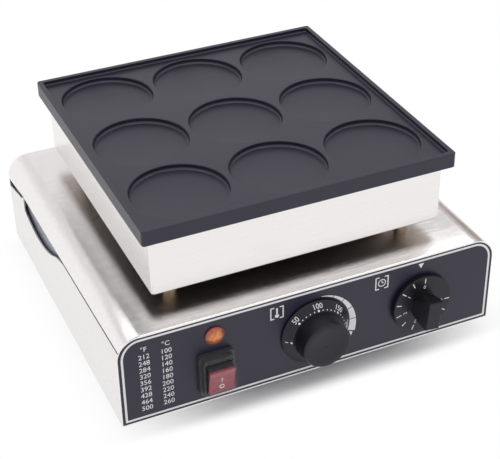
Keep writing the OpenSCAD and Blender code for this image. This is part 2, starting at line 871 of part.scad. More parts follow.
// Space of one cup, drawn from the field downward: chamfered mouth, straight wall, round foot
// and a dished floor
module cup_space() {
    r = cup_d / 2;
    floor_r = r - cup_foot_r;
    dish_steps = 12;
    translate([0, 0, cup_foot_r - cup_depth]) {
        cylinder(r = r, h = cup_depth - cup_foot_r + eps);
        rotate_extrude() translate([floor_r, 0]) circle(cup_foot_r);
    }
    rotate_extrude() polygon([
        [0, eps],
        for (k = [0 : dish_steps]) let (t = k / dish_steps)
            [t * floor_r, -cup_depth - cup_dish * (1 - t * t)],
        [floor_r, eps]
    ]);
    translate([0, 0, -cup_lip]) cylinder(r1 = r, r2 = r + cup_lip + eps, h = cup_lip + eps);
}

// Square slab with upright corners of radius r and a chamfer along its top edge
module chamfered_slab(w, h, r, chamfer) {
    body_h = h - chamfer;
    linear_extrude(body_h) round_rect(w, w, r);
    translate([0, 0, body_h]) {
        for (a = [0, 90]) rotate([0, 0, a]) along_x(r - w / 2, w - 2 * r)
            polygon([[-w / 2, 0], [w / 2, 0], [w / 2 - chamfer, chamfer], [chamfer - w / 2, chamfer]]);
        for (sx = [-1, 1], sy = [-1, 1]) translate([sx * (w / 2 - r), sy * (w / 2 - r), 0])
            cylinder(r1 = r, r2 = r - chamfer, h = chamfer);
    }
}

// Lowest part of a square recess with upright corners of radius r, whose wall is rounded into
// the floor by the radius foot
module recess_foot(w, r, foot) {
    for (a = [0, 90]) rotate([0, 0, a]) along_x(r - w / 2, w - 2 * r) {
        translate([foot - w / 2, 0]) square([w - 2 * foot, foot]);
        for (s = [-1, 1]) translate([s * (w / 2 - foot), foot]) circle(foot);
    }
    for (sx = [-1, 1], sy = [-1, 1]) translate([sx * (w / 2 - r), sy * (w / 2 - r), 0]) {
        cylinder(r = r - foot, h = foot);
        translate([0, 0, foot]) rotate_extrude() translate([r - foot, 0]) circle(foot);
    }
}

module cooking_plate() {
    recess_w = plate_w - 2 * rim_w;
    recess_r = max(plate_corner_r, 2 * rim_foot_r);
    color(coated) difference() {
        union() {
            translate([0, 0, z_box_top]) chamfered_slab(plate_w, plate_t, plate_corner_r, rim_edge);
            translate([0, 0, z_pad]) linear_extrude(pad_t + eps) square(pad_w, center = true);
        }
        translate([0, 0, z_field]) recess_foot(recess_w, recess_r, rim_foot_r);
        translate([0, 0, z_field + rim_foot_r]) linear_extrude(rim_h + eps)
            round_rect(recess_w, recess_w, recess_r);
        for (i = [-1 : 1], j = [-1 : 1]) translate([i * cup_pitch, j * cup_pitch, z_field]) cup_space();
        at_studs() translate([0, 0, z_pad - eps])
            cylinder(d = stud_d + 2 * running_gap, h = stud_seat + eps);
    }
}

// Temperature sensor

module thermostat_bulb() {
    color(zinc) translate([-bulb_l / 2, bulb_y, z_pad - seat_gap - bulb_d / 2]) rotate([0, 90, 0])
        cylinder(d = bulb_d, h = bulb_l);
}

module bulb_clip() {
    clip_l = 12;
    clip_t = 1.5;
    slot_w = bulb_d + 2 * seat_gap;
    color(zinc) difference() {
        translate([-clip_l / 2, bulb_y - slot_w / 2 - clip_t, z_pad - slot_w - clip_t])
            cube([clip_l, slot_w + 2 * clip_t, slot_w + clip_t]);
        translate([-clip_l / 2 - eps, bulb_y - slot_w / 2, z_pad - slot_w])
            cube([clip_l + 2 * eps, slot_w, slot_w + eps]);
    }
}

// From the bulb, under the clamp bar and down the conduit to the thermostat
module capillary_tube() {
    z_bulb = z_pad - seat_gap - bulb_d / 2;
    z_low = z_clamp - m6_nut_h;
    capillary_side = 3.5;
    x_dip = -(bulb_l / 2 + clamp_x - clamp_w / 2) / 2;
    x_down = x_conduit + capillary_side;
    z_run = z_thermostat + thermostat_w / 4;
    color(brass) wire([
        [-bulb_l / 2, bulb_y, z_bulb], [x_dip, bulb_y, z_bulb], [x_dip, bulb_y, z_low],
        [x_down, bulb_y, z_low], [x_down, conduit_y, z_low], [x_down, conduit_y, z_run],
        [thermostat_x, conduit_y, z_run], [thermostat_x, y_thermostat_tab - tab_l, z_run]
    ], capillary_d, bend = tight_bend);
}

// Dials and the control bodies behind the panel

// Body with a mounting plate on the panel's inner face, a bush through the panel and two rear tabs
module control_body(x, z, w, h, depth) {
    plate_gap = 3;
    difference() {
        union() {
            facing_front(x, y_in + mount_t, z) linear_extrude(mount_t)
                square([w + 2 * plate_gap, h], center = true);
            facing_front(x, y_in + mount_t + depth, z) linear_extrude(depth + mount_t / 2)
                square([w, h], center = true);
            facing_front(x, y_in + mount_t / 2, z)
                cylinder(d = bush_d, h = mount_t / 2 + sheet_t + overlay_t + bush_reach);
            for (s = [-1, 1])
                translate([x + s * control_tab_x - tab_t / 2, y_in + depth, z - tab_w / 2])
                    cube([tab_t, mount_t + tab_l, tab_w]);
        }
        facing_front(x, y_in + mount_t + shaft_seat, z) {
            cylinder(d = shaft_d + 2 * running_gap, h = base_d);
            for (s = [-1, 1]) translate([s * control_screw_x, 0, shaft_seat / 2])
                cylinder(d = m4 + 2 * running_gap, h = base_d);
        }
    }
}

module control_screws(x, z) {
    length = overlay_t + sheet_t + mount_t + shaft_seat / 2 - shaft_end_gap;
    for (s = [-1, 1]) facing_front(x + s * control_screw_x, y_face, z)
        pan_screw(m4, m4_head_d, m4_head_h, length);
}

module control_shaft(x, z) {
    y_end = y_in + mount_t + shaft_seat - shaft_end_gap;
    y_tip = y_face - dial_gap - dial_hollow - shaft_grip + shaft_end_gap;
    facing_front(x, y_end, z) cylinder(d = shaft_d, h = y_end - y_tip);
}

// Hollow back and blind shaft bore of a dial, drawn outward from its back face
module dial_back(hollow_d) {
    translate([0, 0, -eps]) cylinder(d = hollow_d, h = dial_hollow + eps);
    cylinder(d = shaft_d + 2 * running_gap, h = dial_hollow + shaft_grip);
}

module thermostat_knob() {
    front = thermostat_reach - dial_gap;
    edge = 1;
    grip_foot_r = grip_d / 2 + grip_draft;
    dish_rim = 4;
    dish_d = grip_d - 2 * dish_rim;
    dish_depth = 1;
    dish_r = (dish_d * dish_d / 4 + dish_depth * dish_depth) / (2 * dish_depth);
    color(black) facing_front(thermostat_x, y_face - dial_gap, z_thermostat) difference() {
        rotate_extrude() polygon([
            [0, 0], [thermostat_dial_d / 2, 0], [thermostat_dial_d / 2, skirt_edge],
            [grip_foot_r + skirt_step, skirt_h], [grip_foot_r, skirt_h],
            [grip_d / 2, front - edge], [grip_d / 2 - edge, front], [0, front]
        ]);
        dial_back(thermostat_dial_d - 2 * skirt_wall);
        translate([0, 0, front + dish_r - dish_depth]) sphere(dish_r);
    }
}

// Grip that goes from a round foot at the height low to a straight bar at the height high
module bar_grip(low, high) {
    edge = 0.6;
    length = 2 * (bar_foot_d + bar_l);
    intersection() {
        translate([0, 0, low])
            cylinder(r1 = bar_foot_d / 2, r2 = norm([bar_w, bar_l]) / 2 + edge, h = high - low);
        along_x(-length / 2, length) bar_outline(bar_l / 2, low, high, edge);
        rotate([0, 0, 90]) along_x(-length / 2, length) bar_outline(bar_w / 2, low, high, edge);
    }
}

// One view of the grip: as wide as its foot below, twice the half width above, with a chamfer
module bar_outline(half, low, high, edge) {
    polygon([
        [-bar_foot_d / 2, low], [bar_foot_d / 2, low], [half, high - edge],
        [half - edge, high], [edge - half, high], [-half, high - edge]
    ]);
}

module timer_knob() {
    dial_r = timer_dial_d / 2;
    color(black) facing_front(x_timer, y_face - dial_gap, z_timer) difference() {
        union() {
            rotate_extrude() polygon([
                [0, 0], [dial_r, 0], [dial_r, dial_t - dial_edge], [dial_r - dial_edge, dial_t], [0, dial_t]
            ]);
            rotate([0, 0, -timer_rest]) bar_grip(dial_t / 2, timer_reach - dial_gap);
        }
        dial_back(timer_dial_d - 2 * dial_wall);
    }
}

module thermostat_body() {
    color(ceramic) control_body(thermostat_x, z_thermostat, thermostat_w, thermostat_w, thermostat_depth);
}

module thermostat_screws() {
    color(zinc) control_screws(thermostat_x, z_thermostat);
}

module thermostat_shaft() {
    color(zinc) control_shaft(thermostat_x, z_thermostat);
}

module timer_body() {
    color(zinc) control_body(x_timer, z_timer, timer_w, timer_w, timer_depth);
}

module timer_screws() {
    color(zinc) control_screws(x_timer, z_timer);
}

module timer_shaft() {
    color(zinc) control_shaft(x_timer, z_timer);
}

// Rocker switch

module switch_housing() {
    bezel_r = 3;
    socket_l = pivot_l + pivot_end_gap;
    color(black) facing_front(x_switch, y_face, z_switch) difference() {
        union() {
            linear_extrude(bezel_step_1) round_rect(switch_w, switch_h, bezel_r);
            linear_extrude(bezel_step_2)
                round_rect(switch_w - 2 * bezel_setback, switch_h - 2 * bezel_setback, bezel_r);
            translate([0, 0, -switch_depth]) linear_extrude(switch_depth)
                square([switch_body_w, switch_body_h], center = true);
        }
        translate([0, 0, pivot_reach - rocker_back - rocker_h / 2]) linear_extrude(base_d)
            square([opening_w, opening_h], center = true);
        translate([-opening_w / 2 - socket_l, 0, pivot_reach]) rotate([0, 90, 0])
            cylinder(d = pivot_d + 2 * running_gap, h = opening_w + 2 * socket_l);
    }
}

// Places a piece on the rocker's pivot; at rest the lower half is pressed in
module on_pivot() {
    facing_front(x_switch, y_face - pivot_reach, z_switch) rotate([rocker_tilt, 0, 0]) children();
}

module switch_rocker() {
    color(black) on_pivot() {
        translate([-rocker_w / 2, -rocker_h / 2, -rocker_back])
            cube([rocker_w, rocker_h, rocker_back + rocker_reach - cap_t]);
        translate([-rocker_w / 2 - boot_gap - pivot_l, 0, 0]) rotate([0, 90, 0])
            cylinder(d = pivot_d, h = rocker_w + 2 * boot_gap + 2 * pivot_l);
    }
}

// Cap with a hollow face
module rocker_cap() {
    hollow_r = 60;
    hollow_depth = 0.8;
    color(red) on_pivot() difference() {
        translate([-rocker_w / 2, -rocker_h / 2, rocker_reach - cap_t]) cube([rocker_w, rocker_h, cap_t]);
        translate([-rocker_w, 0, rocker_reach + hollow_r - hollow_depth]) rotate([0, 90, 0])
            cylinder(r = hollow_r, h = 2 * rocker_w);
    }
}

module switch_boot() {
    flange_t = 1.2;
    flange_inset = bezel_setback + boot_ledge;
    crown_r = 3;
    color(clear) facing_front(x_switch, y_face - bezel_step_2, z_switch) difference() {
        union() {
            linear_extrude(flange_t)
                round_rect(switch_w - 2 * flange_inset, switch_h - 2 * flange_inset, crown_r);
            linear_extrude(boot_front - bezel_step_2)
                round_rect(opening_w + 2 * boot_t, opening_h + 2 * boot_t, crown_r);
        }
        translate([0, 0, -eps]) linear_extrude(boot_front - bezel_step_2 - boot_t + eps)
            square([opening_w, opening_h], center = true);
    }
}

module switch_tabs() {
    color(brass) translate([x_switch, y_face + switch_depth, z_switch]) for (sx = [-1, 1], sz = [-1, 1])
        translate([sx * tab_x - tab_t / 2, 0, sz * tab_z - tab_w / 2]) cube([tab_t, tab_l, tab_w]);
}

// Pilot lamp

module lamp_lens() {
    lens_ledge = 0.5;
    dome_d = lamp_d - 2 * lens_ledge;
    dome_r = (dome_d * dome_d / 4 + lens_dome * lens_dome) / (2 * lens_dome);
    color(amber) facing_front(x_switch, y_face, z_lamp) {
        cylinder(d = lamp_d, h = lens_t);
        intersection() {
            translate([0, 0, lens_t + lens_dome - dome_r]) sphere(dome_r);
            translate([0, 0, lens_t / 2]) cylinder(d = lamp_d, h = lens_t + lens_dome);
        }
    }
}

module lamp_body() {
    color(black) facing_front(x_switch, y_face, z_lamp) {
        translate([0, 0, -lamp_depth]) cylinder(d = lamp_body_d, h = lamp_depth);
        for (s = [-1, 1]) translate([s * tab_x - tab_t / 2, -tab_w / 4, -lamp_depth - tab_w])
            cube([tab_t, tab_w / 2, tab_w + tab_t]);
    }
}

module lamp_nut() {
    nut_af = 16;
    nut_t = 4;
    color(zinc) facing_front(x_switch, y_in + nut_t, z_lamp) hex_nut(nut_af, lamp_body_d, nut_t);
}

// Mains inlet and wiring

module lead_conduit() {
    z_low = z_ceiling - conduit_drop;
    height = z_reflector + reflector_t + conduit_rise - z_low;
    color(zinc) at_conduit() translate([0, 0, z_low]) difference() {
        cylinder(d = conduit_d, h = height);
        translate([0, 0, -eps]) cylinder(d = conduit_bore, h = height + 2 * eps);
    }
}

module conduit_nuts() {
    color(zinc) at_conduit() for (z = [z_ceiling - conduit_nut_t, z_pan_top])
        translate([0, 0, z]) difference() {
            cylinder(d = conduit_nut_d, h = conduit_nut_t);
            translate([0, 0, -eps]) cylinder(d = conduit_d + 2 * running_gap, h = conduit_nut_t + 2 * eps);
        }
}

module at_terminal_screws() {
    for (s = [-1, 1]) translate([terminal_x + s * terminal_hole_x, terminal_y, 0]) children();
}

module terminal_block() {
    color(ceramic) difference() {
        translate([terminal_x - terminal_w / 2, terminal_y - terminal_d / 2, z_floor])
            cube([terminal_w, terminal_d, terminal_h]);
        at_terminal_screws() translate([0, 0, z_floor - eps])
            cylinder(d = m4 + 2 * hole_gap, h = terminal_h + 2 * eps);
    }
}

module terminal_screws() {
    color(zinc) at_terminal_screws() translate([0, 0, z_floor + terminal_h])
        pan_screw(m4, m4_head_d, m4_head_h, terminal_h + sheet_t + thread_end);
}

module earth_stud() {
    color(brass) translate([earth_x, earth_y, z_floor]) cylinder(d = m5, h = earth_l);
}

module earth_nut() {
    color(brass) translate([earth_x, earth_y, z_floor]) hex_nut(m5_nut_af, m5, m5_nut_h);
}

module cord_gland() {
    hex_af = 22;
    hex_t = 5;
    inside = 10;
    taper = 2;
    color(black) translate([x_gland, y_rear, z_base + gland_z]) rotate([-90, 0, 0]) difference() {
        union() {
            translate([0, 0, -sheet_t - inside]) cylinder(d = gland_thread_d, h = sheet_t + inside);
            cylinder(d = hex_af / cos(30), h = hex_t, $fn = 6);
            translate([0, 0, hex_t])
                cylinder(d1 = gland_thread_d + 2 * taper, d2 = gland_thread_d, h = gland_reach - hex_t);
        }
        translate([0, 0, -sheet_t - inside - eps])
            cylinder(d = gland_bore, h = sheet_t + inside + gland_reach + 2 * eps);
    }
}

module gland_locknut() {
    nut_t = 4;
    nut_rim = 3;
    nut_af = gland_thread_d + 2 * nut_rim;
    color(black) translate([x_gland, y_rear_in - nut_t, z_base + gland_z]) rotate([-90, 0, 0])
        hex_nut(nut_af, gland_thread_d, nut_t);
}

// From the element's pins, round the left of the box and down the conduit
module heater_leads() {
    x_turn = x_pin - lead_turn;
    y_pin = 1.5 * element_pitch;
    y_back = conduit_y + lead_side;
    y_fore = conduit_y - lead_side;
    z_fore = z_switch + tab_z;
    x_tab = thermostat_x - control_tab_x;
    color(board) {
        wire([
            [x_pin, y_pin, z_element], [x_turn, y_pin, z_element], [x_turn, y_back, z_element],
            [x_conduit, y_back, z_element], [x_conduit, y_back, z_thermostat],
            [x_tab, y_back, z_thermostat], [x_tab, y_thermostat_tab, z_thermostat]
        ], wire_d);
        wire([
            [x_pin, -y_pin, z_element], [x_turn, -y_pin, z_element], [x_turn, y_fore, z_element],
            [x_conduit, y_fore, z_element], [x_conduit, y_fore, z_fore],
            [x_switch + tab_x, y_switch_tab + wire_room, z_fore], [x_switch + tab_x, y_switch_tab, z_fore]
        ], wire_d);
    }
}

// From the terminal block to the switch's lower tabs
module supply_wires() {
    z_end = z_switch - tab_z;
    color(black) for (s = [-1, 0]) {
        x = terminal_x + s * pole_pitch;
        y_step = s * pole_pitch;
        wire([
            [x, terminal_y - terminal_d / 2, z_pole], [x, y_step, z_pole],
            [x, y_step - pole_pitch, z_end], [x, y_switch_tab, z_end]
        ], wire_d, bend = tight_bend);
    }
}

// From the switch over the other wires to the timer, and from the timer back to the thermostat
module control_wires() {
    x_from = x_switch - tab_x;
    x_to = x_timer - control_tab_x;
    x_back = x_timer + control_tab_x;
    x_end = thermostat_x + control_tab_x;
    y_over = y_timer_tab + wire_room;
    y_behind = y_over + wire_room;
    z_from = z_switch + tab_z;
    z_over = z_ceiling - wire_drop;
    color(red) {
        wire([
            [x_from, y_switch_tab, z_from], [x_from, y_over, z_from], [x_from, y_over, z_over],
            [x_to, y_over, z_over], [x_to, y_over, z_timer], [x_to, y_timer_tab, z_timer]
        ], wire_d);
        wire([
            [x_back, y_timer_tab, z_timer], [x_back, y_behind, z_timer],
            [x_end, y_behind, z_thermostat], [x_end, y_thermostat_tab, z_thermostat]
        ], wire_d);
    }
}

// From the lamp's tabs down to the top edges of the switch's upper tabs
module lamp_wires() {
    y_down = y_switch_tab - tab_l / 2;
    z_end = z_switch + tab_z + tab_w / 2 + seat_gap;
    color(amber) for (s = [-1, 1]) {
        x = x_switch + s * tab_x;
        wire([[x, y_lamp_tab, z_lamp], [x, y_down, z_lamp], [x, y_down, z_end]],
            wire_d / 2, bend = tight_bend);
    }
}

module earth_wire() {
    x = terminal_x + pole_pitch;
    color("green") wire([
        [x, terminal_y - terminal_d / 2, z_pole], [x, earth_y, z_pole],
        [earth_x - m5 / 2 - seat_gap, earth_y, z_pole]
    ], wire_d);
}

top_cover();
base_tray();
front_panel();
panel_overlay();
rear_panel();
rear_screws();
rubber_feet();
foot_screws();
foot_nuts();
support_posts();
post_bolts();
post_washers();
post_nuts();
heater_skirt();
heater_floor();
insulation_board();
heat_reflector();
heating_element();
element_clamps();
clamp_studs();
clamp_nuts();
cooking_plate();
thermostat_bulb();
bulb_clip();
capillary_tube();
thermostat_body();
thermostat_screws();
thermostat_shaft();
thermostat_knob();
timer_body();
timer_screws();
timer_shaft();
timer_knob();
switch_housing();
switch_rocker();
rocker_cap();
switch_boot();
switch_tabs();
lamp_lens();
lamp_body();
lamp_nut();
lead_conduit();
conduit_nuts();
terminal_block();
terminal_screws();
earth_stud();
earth_nut();
cord_gland();
gland_locknut();
heater_leads();
supply_wires();
control_wires();
lamp_wires();
earth_wire();
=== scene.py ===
"""Mini pancake maker: finishes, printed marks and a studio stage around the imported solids."""
import json
import math
from functools import reduce

import bmesh
import bpy
import numpy as np
from bpy.props import FloatProperty, FloatVectorProperty, PointerProperty
from bpy.types import Operator, Panel, PropertyGroup
from mathutils import Matrix, Vector


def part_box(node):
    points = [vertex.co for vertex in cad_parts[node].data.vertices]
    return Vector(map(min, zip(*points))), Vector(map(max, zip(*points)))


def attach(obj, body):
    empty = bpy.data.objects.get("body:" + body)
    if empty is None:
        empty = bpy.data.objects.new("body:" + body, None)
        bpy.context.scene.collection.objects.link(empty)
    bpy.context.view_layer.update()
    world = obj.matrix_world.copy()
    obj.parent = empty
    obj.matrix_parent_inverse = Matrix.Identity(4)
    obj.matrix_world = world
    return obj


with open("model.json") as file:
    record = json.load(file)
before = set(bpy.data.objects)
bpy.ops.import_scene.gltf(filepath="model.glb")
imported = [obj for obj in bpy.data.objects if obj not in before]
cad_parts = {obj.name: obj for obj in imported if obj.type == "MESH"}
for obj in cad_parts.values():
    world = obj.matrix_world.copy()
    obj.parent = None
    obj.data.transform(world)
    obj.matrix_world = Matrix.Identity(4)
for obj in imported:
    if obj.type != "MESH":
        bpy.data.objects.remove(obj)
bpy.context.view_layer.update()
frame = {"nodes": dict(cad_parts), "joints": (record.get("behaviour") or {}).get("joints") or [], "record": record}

bl_info = {
    "name": "Mini Pancake Maker",
    "version": (1, 0, 0),
    "blender": (4, 5, 0),
    "location": "View3D > Sidebar > Pancake Maker",
    "description": "Finishes, printed marks and a studio stage for a mini pancake maker",
    "category": "Object",
}

NODES = frame["nodes"]
PIVOT = {joint["name"]: Vector(joint["pos_m"]) for joint in frame["joints"]}
SLOT_NODES = {}
for subpart in frame["record"]["subparts"]:
    SLOT_NODES.setdefault(subpart["material_slot"], []).append(subpart["node"])

FILM_LOW, FILM_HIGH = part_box("panel_overlay")
LENS_LOW, LENS_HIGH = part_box("lamp_lens")
_, SKIRT_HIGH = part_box("thermostat_knob")
_, TIMER_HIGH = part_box("timer_knob")
BOX_LOW, BOX_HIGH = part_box("heater_skirt")
INK = 0.00006  # thickness of the print
RAISED = 0.00025  # thickness of the rocker's marks
METAL = {"Metallic": 1.0}
WHITE = (1, 1, 1)


# Properties

def length(name, about, default):
    """A size in metres"""
    return FloatProperty(name=name, description=about, default=default, precision=5, unit="LENGTH")


def turn(name, about, degrees):
    """An angle, given in degrees"""
    return FloatProperty(name=name, description=about, default=math.radians(degrees), subtype="ANGLE")


def share(name, about, default):
    """A share from none to all"""
    return FloatProperty(name=name, description=about, default=default, min=0, max=1, subtype="FACTOR")


def colour(name, about, default):
    """A colour in linear light"""
    return FloatVectorProperty(name=name, description=about, default=default, min=0, max=1, subtype="COLOR")


class PancakePrint(PropertyGroup):
    """Sizes of the marks on the panel, the dials and the rocker"""
    stripe_side: length("Stripe side", "Film left beside the border stripe", 0.0020)
    stripe_top: length("Stripe top", "Film left above the border stripe", 0.0009)
    stripe_foot: length("Stripe foot", "Film left below the border stripe", 0.0019)
    stripe_width: length("Stripe width", "Width of the border stripe", 0.0017)
    film_corner: length("Film corner", "Radius of the film's upper corners", 0.0165)
    figure_height: length("Figure height", "Height of the figures in the table", 0.0043)
    row_pitch: length("Row pitch", "Distance between rows of the table", 0.0059)
    sign_line: length("Sign line", "Line width of the signs", 0.0009)
    arc_radius: length("Arc radius", "Inner radius of the heat arc", 0.0297)
    dial_figure: length("Dial figure height", "Height of the thermostat's figures", 0.0042)
    dial_step: turn("Dial step", "Turn between two thermostat figures", 45.5)
    timer_figure: length("Timer figure height", "Height of the timer's figures", 0.0032)
    timer_step: turn("Timer step", "Turn between two timer ticks", 27)


class PancakeFinish(PropertyGroup):
    """Colours of the finishes"""
    steel: colour("Steel", "Brushed stainless sheet", (0.88, 0.855, 0.845))
    zinc: colour("Zinc", "Plated screws, nuts and brackets", (0.62, 0.61, 0.60))
    coating: colour("Coating", "Non-stick coating of the plate", (0.008, 0.0075, 0.015))
    film: colour("Film", "Printed panel film", (0.014, 0.011, 0.030))
    ink: colour("Ink", "White print", (0.88, 0.88, 0.90))
    plastic: colour("Plastic", "Dials, rocker, lamp body and gland", (0.006, 0.006, 0.007))
    switch: colour("Switch", "Switch housing", (0.050, 0.049, 0.055))
    rocker: colour("Rocker", "Red cap of the rocker", (0.32, 0.036, 0.060))
    lens: colour("Lens", "Amber pilot lens", (1.0, 0.27, 0.05))
    rubber: colour("Rubber", "Feet", (0.02, 0.02, 0.021))


class PancakeStage(PropertyGroup):
    """Floor, light and camera"""
    floor: colour("Floor", "Pale floor", (0.80, 0.795, 0.815))
    shadow_reach: length("Shadow reach", "Distance from the base over which the floor turns white", 0.018)
    room: share("Room light", "Light from all sides", 0.78)
    key_power: FloatProperty(name="Key power", description="Power of the lamp overhead", default=9,
                             unit="POWER")
    lens: FloatProperty(name="Focal length", description="Focal length on a 36 mm frame", default=94.02,
                        unit="CAMERA")
    azimuth: turn("Azimuth", "Turn of the camera about the upright axis", -23.63)
    elevation: turn("Elevation", "Height of the camera over the table, as an angle", 33.58)
    roll: turn("Roll", "Tilt of the camera about its own line of sight", -1.06)
    distance: length("Distance", "Distance from camera to target", 1.0549)
    target: FloatVectorProperty(name="Target", description="Point that the camera looks at",
                                default=(-0.0014, -0.0273, 0.070), subtype="XYZ", unit="LENGTH")


# Shapes: every shape is a pair of arrays, points (u right, v up, w out, 0 to 1) and faces

def band(one, other, closed=False):
    """Strip between two outlines of equal length: at each step four corners, the first outline's
    back and front and the other's front and back, joined to the next step's four corners."""
    n = len(one)
    flat = np.stack([one, one, other, other], axis=1)
    rise = np.broadcast_to(np.array([0.0, 1.0, 1.0, 0.0])[:, None], (n, 4, 1))
    points = np.concatenate([flat, rise], axis=2).reshape(-1, 3)
    here = 4 * np.arange(n if closed else n - 1)[:, None]
    there = (here + 4) % (4 * n)
    k = np.arange(4)
    after = (k + 1) % 4
    faces = np.stack([here + k, there + k, there + after, here + after], axis=-1).reshape(-1, 4)
    if not closed:
        faces = np.concatenate([faces, [[0, 1, 2, 3]], 4 * n - 4 + np.array([[3, 2, 1, 0]])])
    return points, faces


def ring_loop(radius, steps=32):
    """Circle: radius times sine and cosine of the clockwise angle from the top"""
    a = np.linspace(0, 2 * np.pi, steps, endpoint=False)
    return radius * np.stack([np.sin(a), np.cos(a)], axis=1)


def dot(radius, steps=16):
    """Round dot as a band across a circle: its right half, from just off the top to just off the foot,
    against its mirrored left half"""
    off = 0.02
    a = np.linspace(off, np.pi - off, steps)
    right = radius * np.stack([np.sin(a), np.cos(a)], axis=1)
    return band(right, right * [-1, 1])


def bar(u0, u1, v0, v1):
    """Upright rectangle from corner to corner"""
    return band(np.array([[u0, v0], [u0, v1]]), np.array([[u1, v0], [u1, v1]]))


def wedge(half, top, tip):
    """Triangle with its level edge at height top and its point at height tip"""
    point = half / 50
    return band(np.array([[-half, top], [-point, tip]]), np.array([[half, top], [point, tip]]))


def stroke(path, width):
    """Line of given width along corners that turn squarely: each corner is moved sideways by half
    the width along the sum of its two edges' normals"""
    edge = np.diff(path, axis=0)
    edge /= np.linalg.norm(edge, axis=1, keepdims=True)
    side = np.stack([-edge[:, 1], edge[:, 0]], axis=1)
    first, last = side[:1], side[-1:]
    inner = side[:-1] + side[1:]
    offset = np.concatenate([first, inner / np.sum(inner * side[:-1], axis=1, keepdims=True), last])
    return band(path + offset * width / 2, path - offset * width / 2)


def figure(text):
    """Text of the built-in font as a plate one unit thick, one digit height tall, centred on its digits"""
    digit_height, half_thickness = 0.73, 0.5
    curve = bpy.data.curves.new("figure", type="FONT")
    curve.body = text
    curve.align_x = "CENTER"
    curve.resolution_u = 3
    curve.extrude = half_thickness
    holder = bpy.data.objects.new("figure", curve)
    mesh = bpy.data.meshes.new_from_object(holder)
    mesh.calc_loop_triangles()
    points = np.empty(3 * len(mesh.vertices))
    mesh.vertices.foreach_get("co", points)
    faces = np.empty(3 * len(mesh.loop_triangles), dtype=np.int32)
    mesh.loop_triangles.foreach_get("vertices", faces)
    bpy.data.objects.remove(holder)
    bpy.data.curves.remove(curve)
    bpy.data.meshes.remove(mesh)
    points = points.reshape(-1, 3) - [0, digit_height / 2, -half_thickness]
    return points / [digit_height, digit_height, 1], faces.reshape(-1, 3)


def sized(shape, scale, u=0.0, v=0.0):
    """The shape scaled in its plane and moved to (u, v)"""
    points, faces = shape
    return points * [scale, scale, 1] + [u, v, 0], faces


# Places: a map takes points (u, v, w) to the part's frame, w in steps of the mark's thickness

def on_film(points):
    """Flat print on the panel: u is x, v is z, and w goes forward from the film's face"""
    u, v, w = points.T
    return np.stack([u, FILM_LOW.y - w * INK, v], axis=1)


def on_dial(axis, back, radius, rise, tilt, angle):
    """Print on a dial: v runs outward along the dial's slope from (radius, rise), u round the axis
    from the angle, clockwise seen from the front, and w along the slope's normal"""
    def place(points):
        u, v, w = points.T
        r = radius + v * math.cos(tilt) + w * INK * math.sin(tilt)
        h = rise - v * math.sin(tilt) + w * INK * math.cos(tilt)
        a = angle + u / radius
        return np.stack([axis.x + r * np.sin(a), back - h, axis.z + r * np.cos(a)], axis=1)
    return place


def on_rocker(points):
    """Marks on the hollow face of the rocker's cap: v runs up a cylinder's inside, then the whole is tilted
    about the pivot"""
    reach, hollow, sink, tilt = 0.0078, 0.060, 0.0008, math.radians(9)
    pivot = PIVOT["rocker_tip"]
    u, v, w = points.T
    out = reach + hollow - sink - np.sqrt(hollow * hollow - v * v) + w * RAISED
    y = v * math.cos(tilt) - out * math.sin(tilt)
    z = v * math.sin(tilt) + out * math.cos(tilt)
    return np.stack([pivot.x + u, pivot.y - z, pivot.z + y], axis=1)


def piece(name, placed, body, material):
    """One object from a list of (map, shape): arrays joined, doubles merged, faces turned outward"""
    points = [place(shape[0]) for place, shape in placed]
    starts = np.cumsum([0] + [len(p) for p in points])
    faces = [face for start, (_, shape) in zip(starts, placed) for face in (shape[1] + start).tolist()]
    mesh = bpy.data.meshes.new(name)
    mesh.from_pydata(np.concatenate(points).tolist(), [], faces)
    work = bmesh.new()
    work.from_mesh(mesh)
    bmesh.ops.remove_doubles(work, verts=work.verts, dist=1e-7)
    bmesh.ops.recalc_face_normals(work, faces=work.faces)
    work.to_mesh(mesh)
    work.free()
    mesh.materials.append(material)
    made = bpy.data.objects.new(name, mesh)
    bpy.context.scene.collection.objects.link(made)
    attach(made, body)
    return made


# Finishes

def add(tree, kind, inputs=None, **settings):
    """A node with its settings, and its inputs set to constants or linked from sockets"""
    made = tree.nodes.new(kind)
    for key, value in settings.items():
        setattr(made, key, value)
    for key, value in (inputs or {}).items():
        if isinstance(value, bpy.types.NodeSocket):
            tree.links.new(value, made.inputs[key])
        else:
            made.inputs[key].default_value = value
    return made


def coordinates(tree, kind="Object"):
    """Coordinates of the shaded point"""
    return add(tree, "ShaderNodeTexCoord").outputs[kind]


def split(tree, vector):
    """The three parts of a vector"""
    return add(tree, "ShaderNodeSeparateXYZ", {0: vector}).outputs


def mapped(tree, shift, per_metre=(1, 1, 1)):
    """Object coordinates times the counts per metre along x, y and z, then moved by the shift"""
    inputs = {"Vector": coordinates(tree), "Location": shift, "Scale": per_metre}
    return add(tree, "ShaderNodeMapping", inputs).outputs["Vector"]


def noise(tree, per_metre, detail=2.0, shift=(0, 0, 0)):
    """Noise on Object coordinates, stretched by its counts per metre along x, y and z"""
    inputs = {"Vector": mapped(tree, shift, per_metre), "Scale": 1.0, "Detail": detail}
    return add(tree, "ShaderNodeTexNoise", inputs).outputs["Fac"]


def span(tree, value, low, high, start=0.3, end=0.7, blend="LINEAR"):
    """A value spread from low at its start to high at its end"""
    ends = {"Value": value, "From Min": start, "From Max": end, "To Min": low, "To Max": high}
    return add(tree, "ShaderNodeMapRange", ends, interpolation_type=blend).outputs["Result"]


def joined(tree, operation, one, other=0.0):
    """Result of an operation on one value or two"""
    return add(tree, "ShaderNodeMath", {0: one, 1: other}, operation=operation).outputs[0]


def measured(tree, vector):
    """Length of a vector"""
    return add(tree, "ShaderNodeVectorMath", {0: vector}, operation="LENGTH").outputs["Value"]


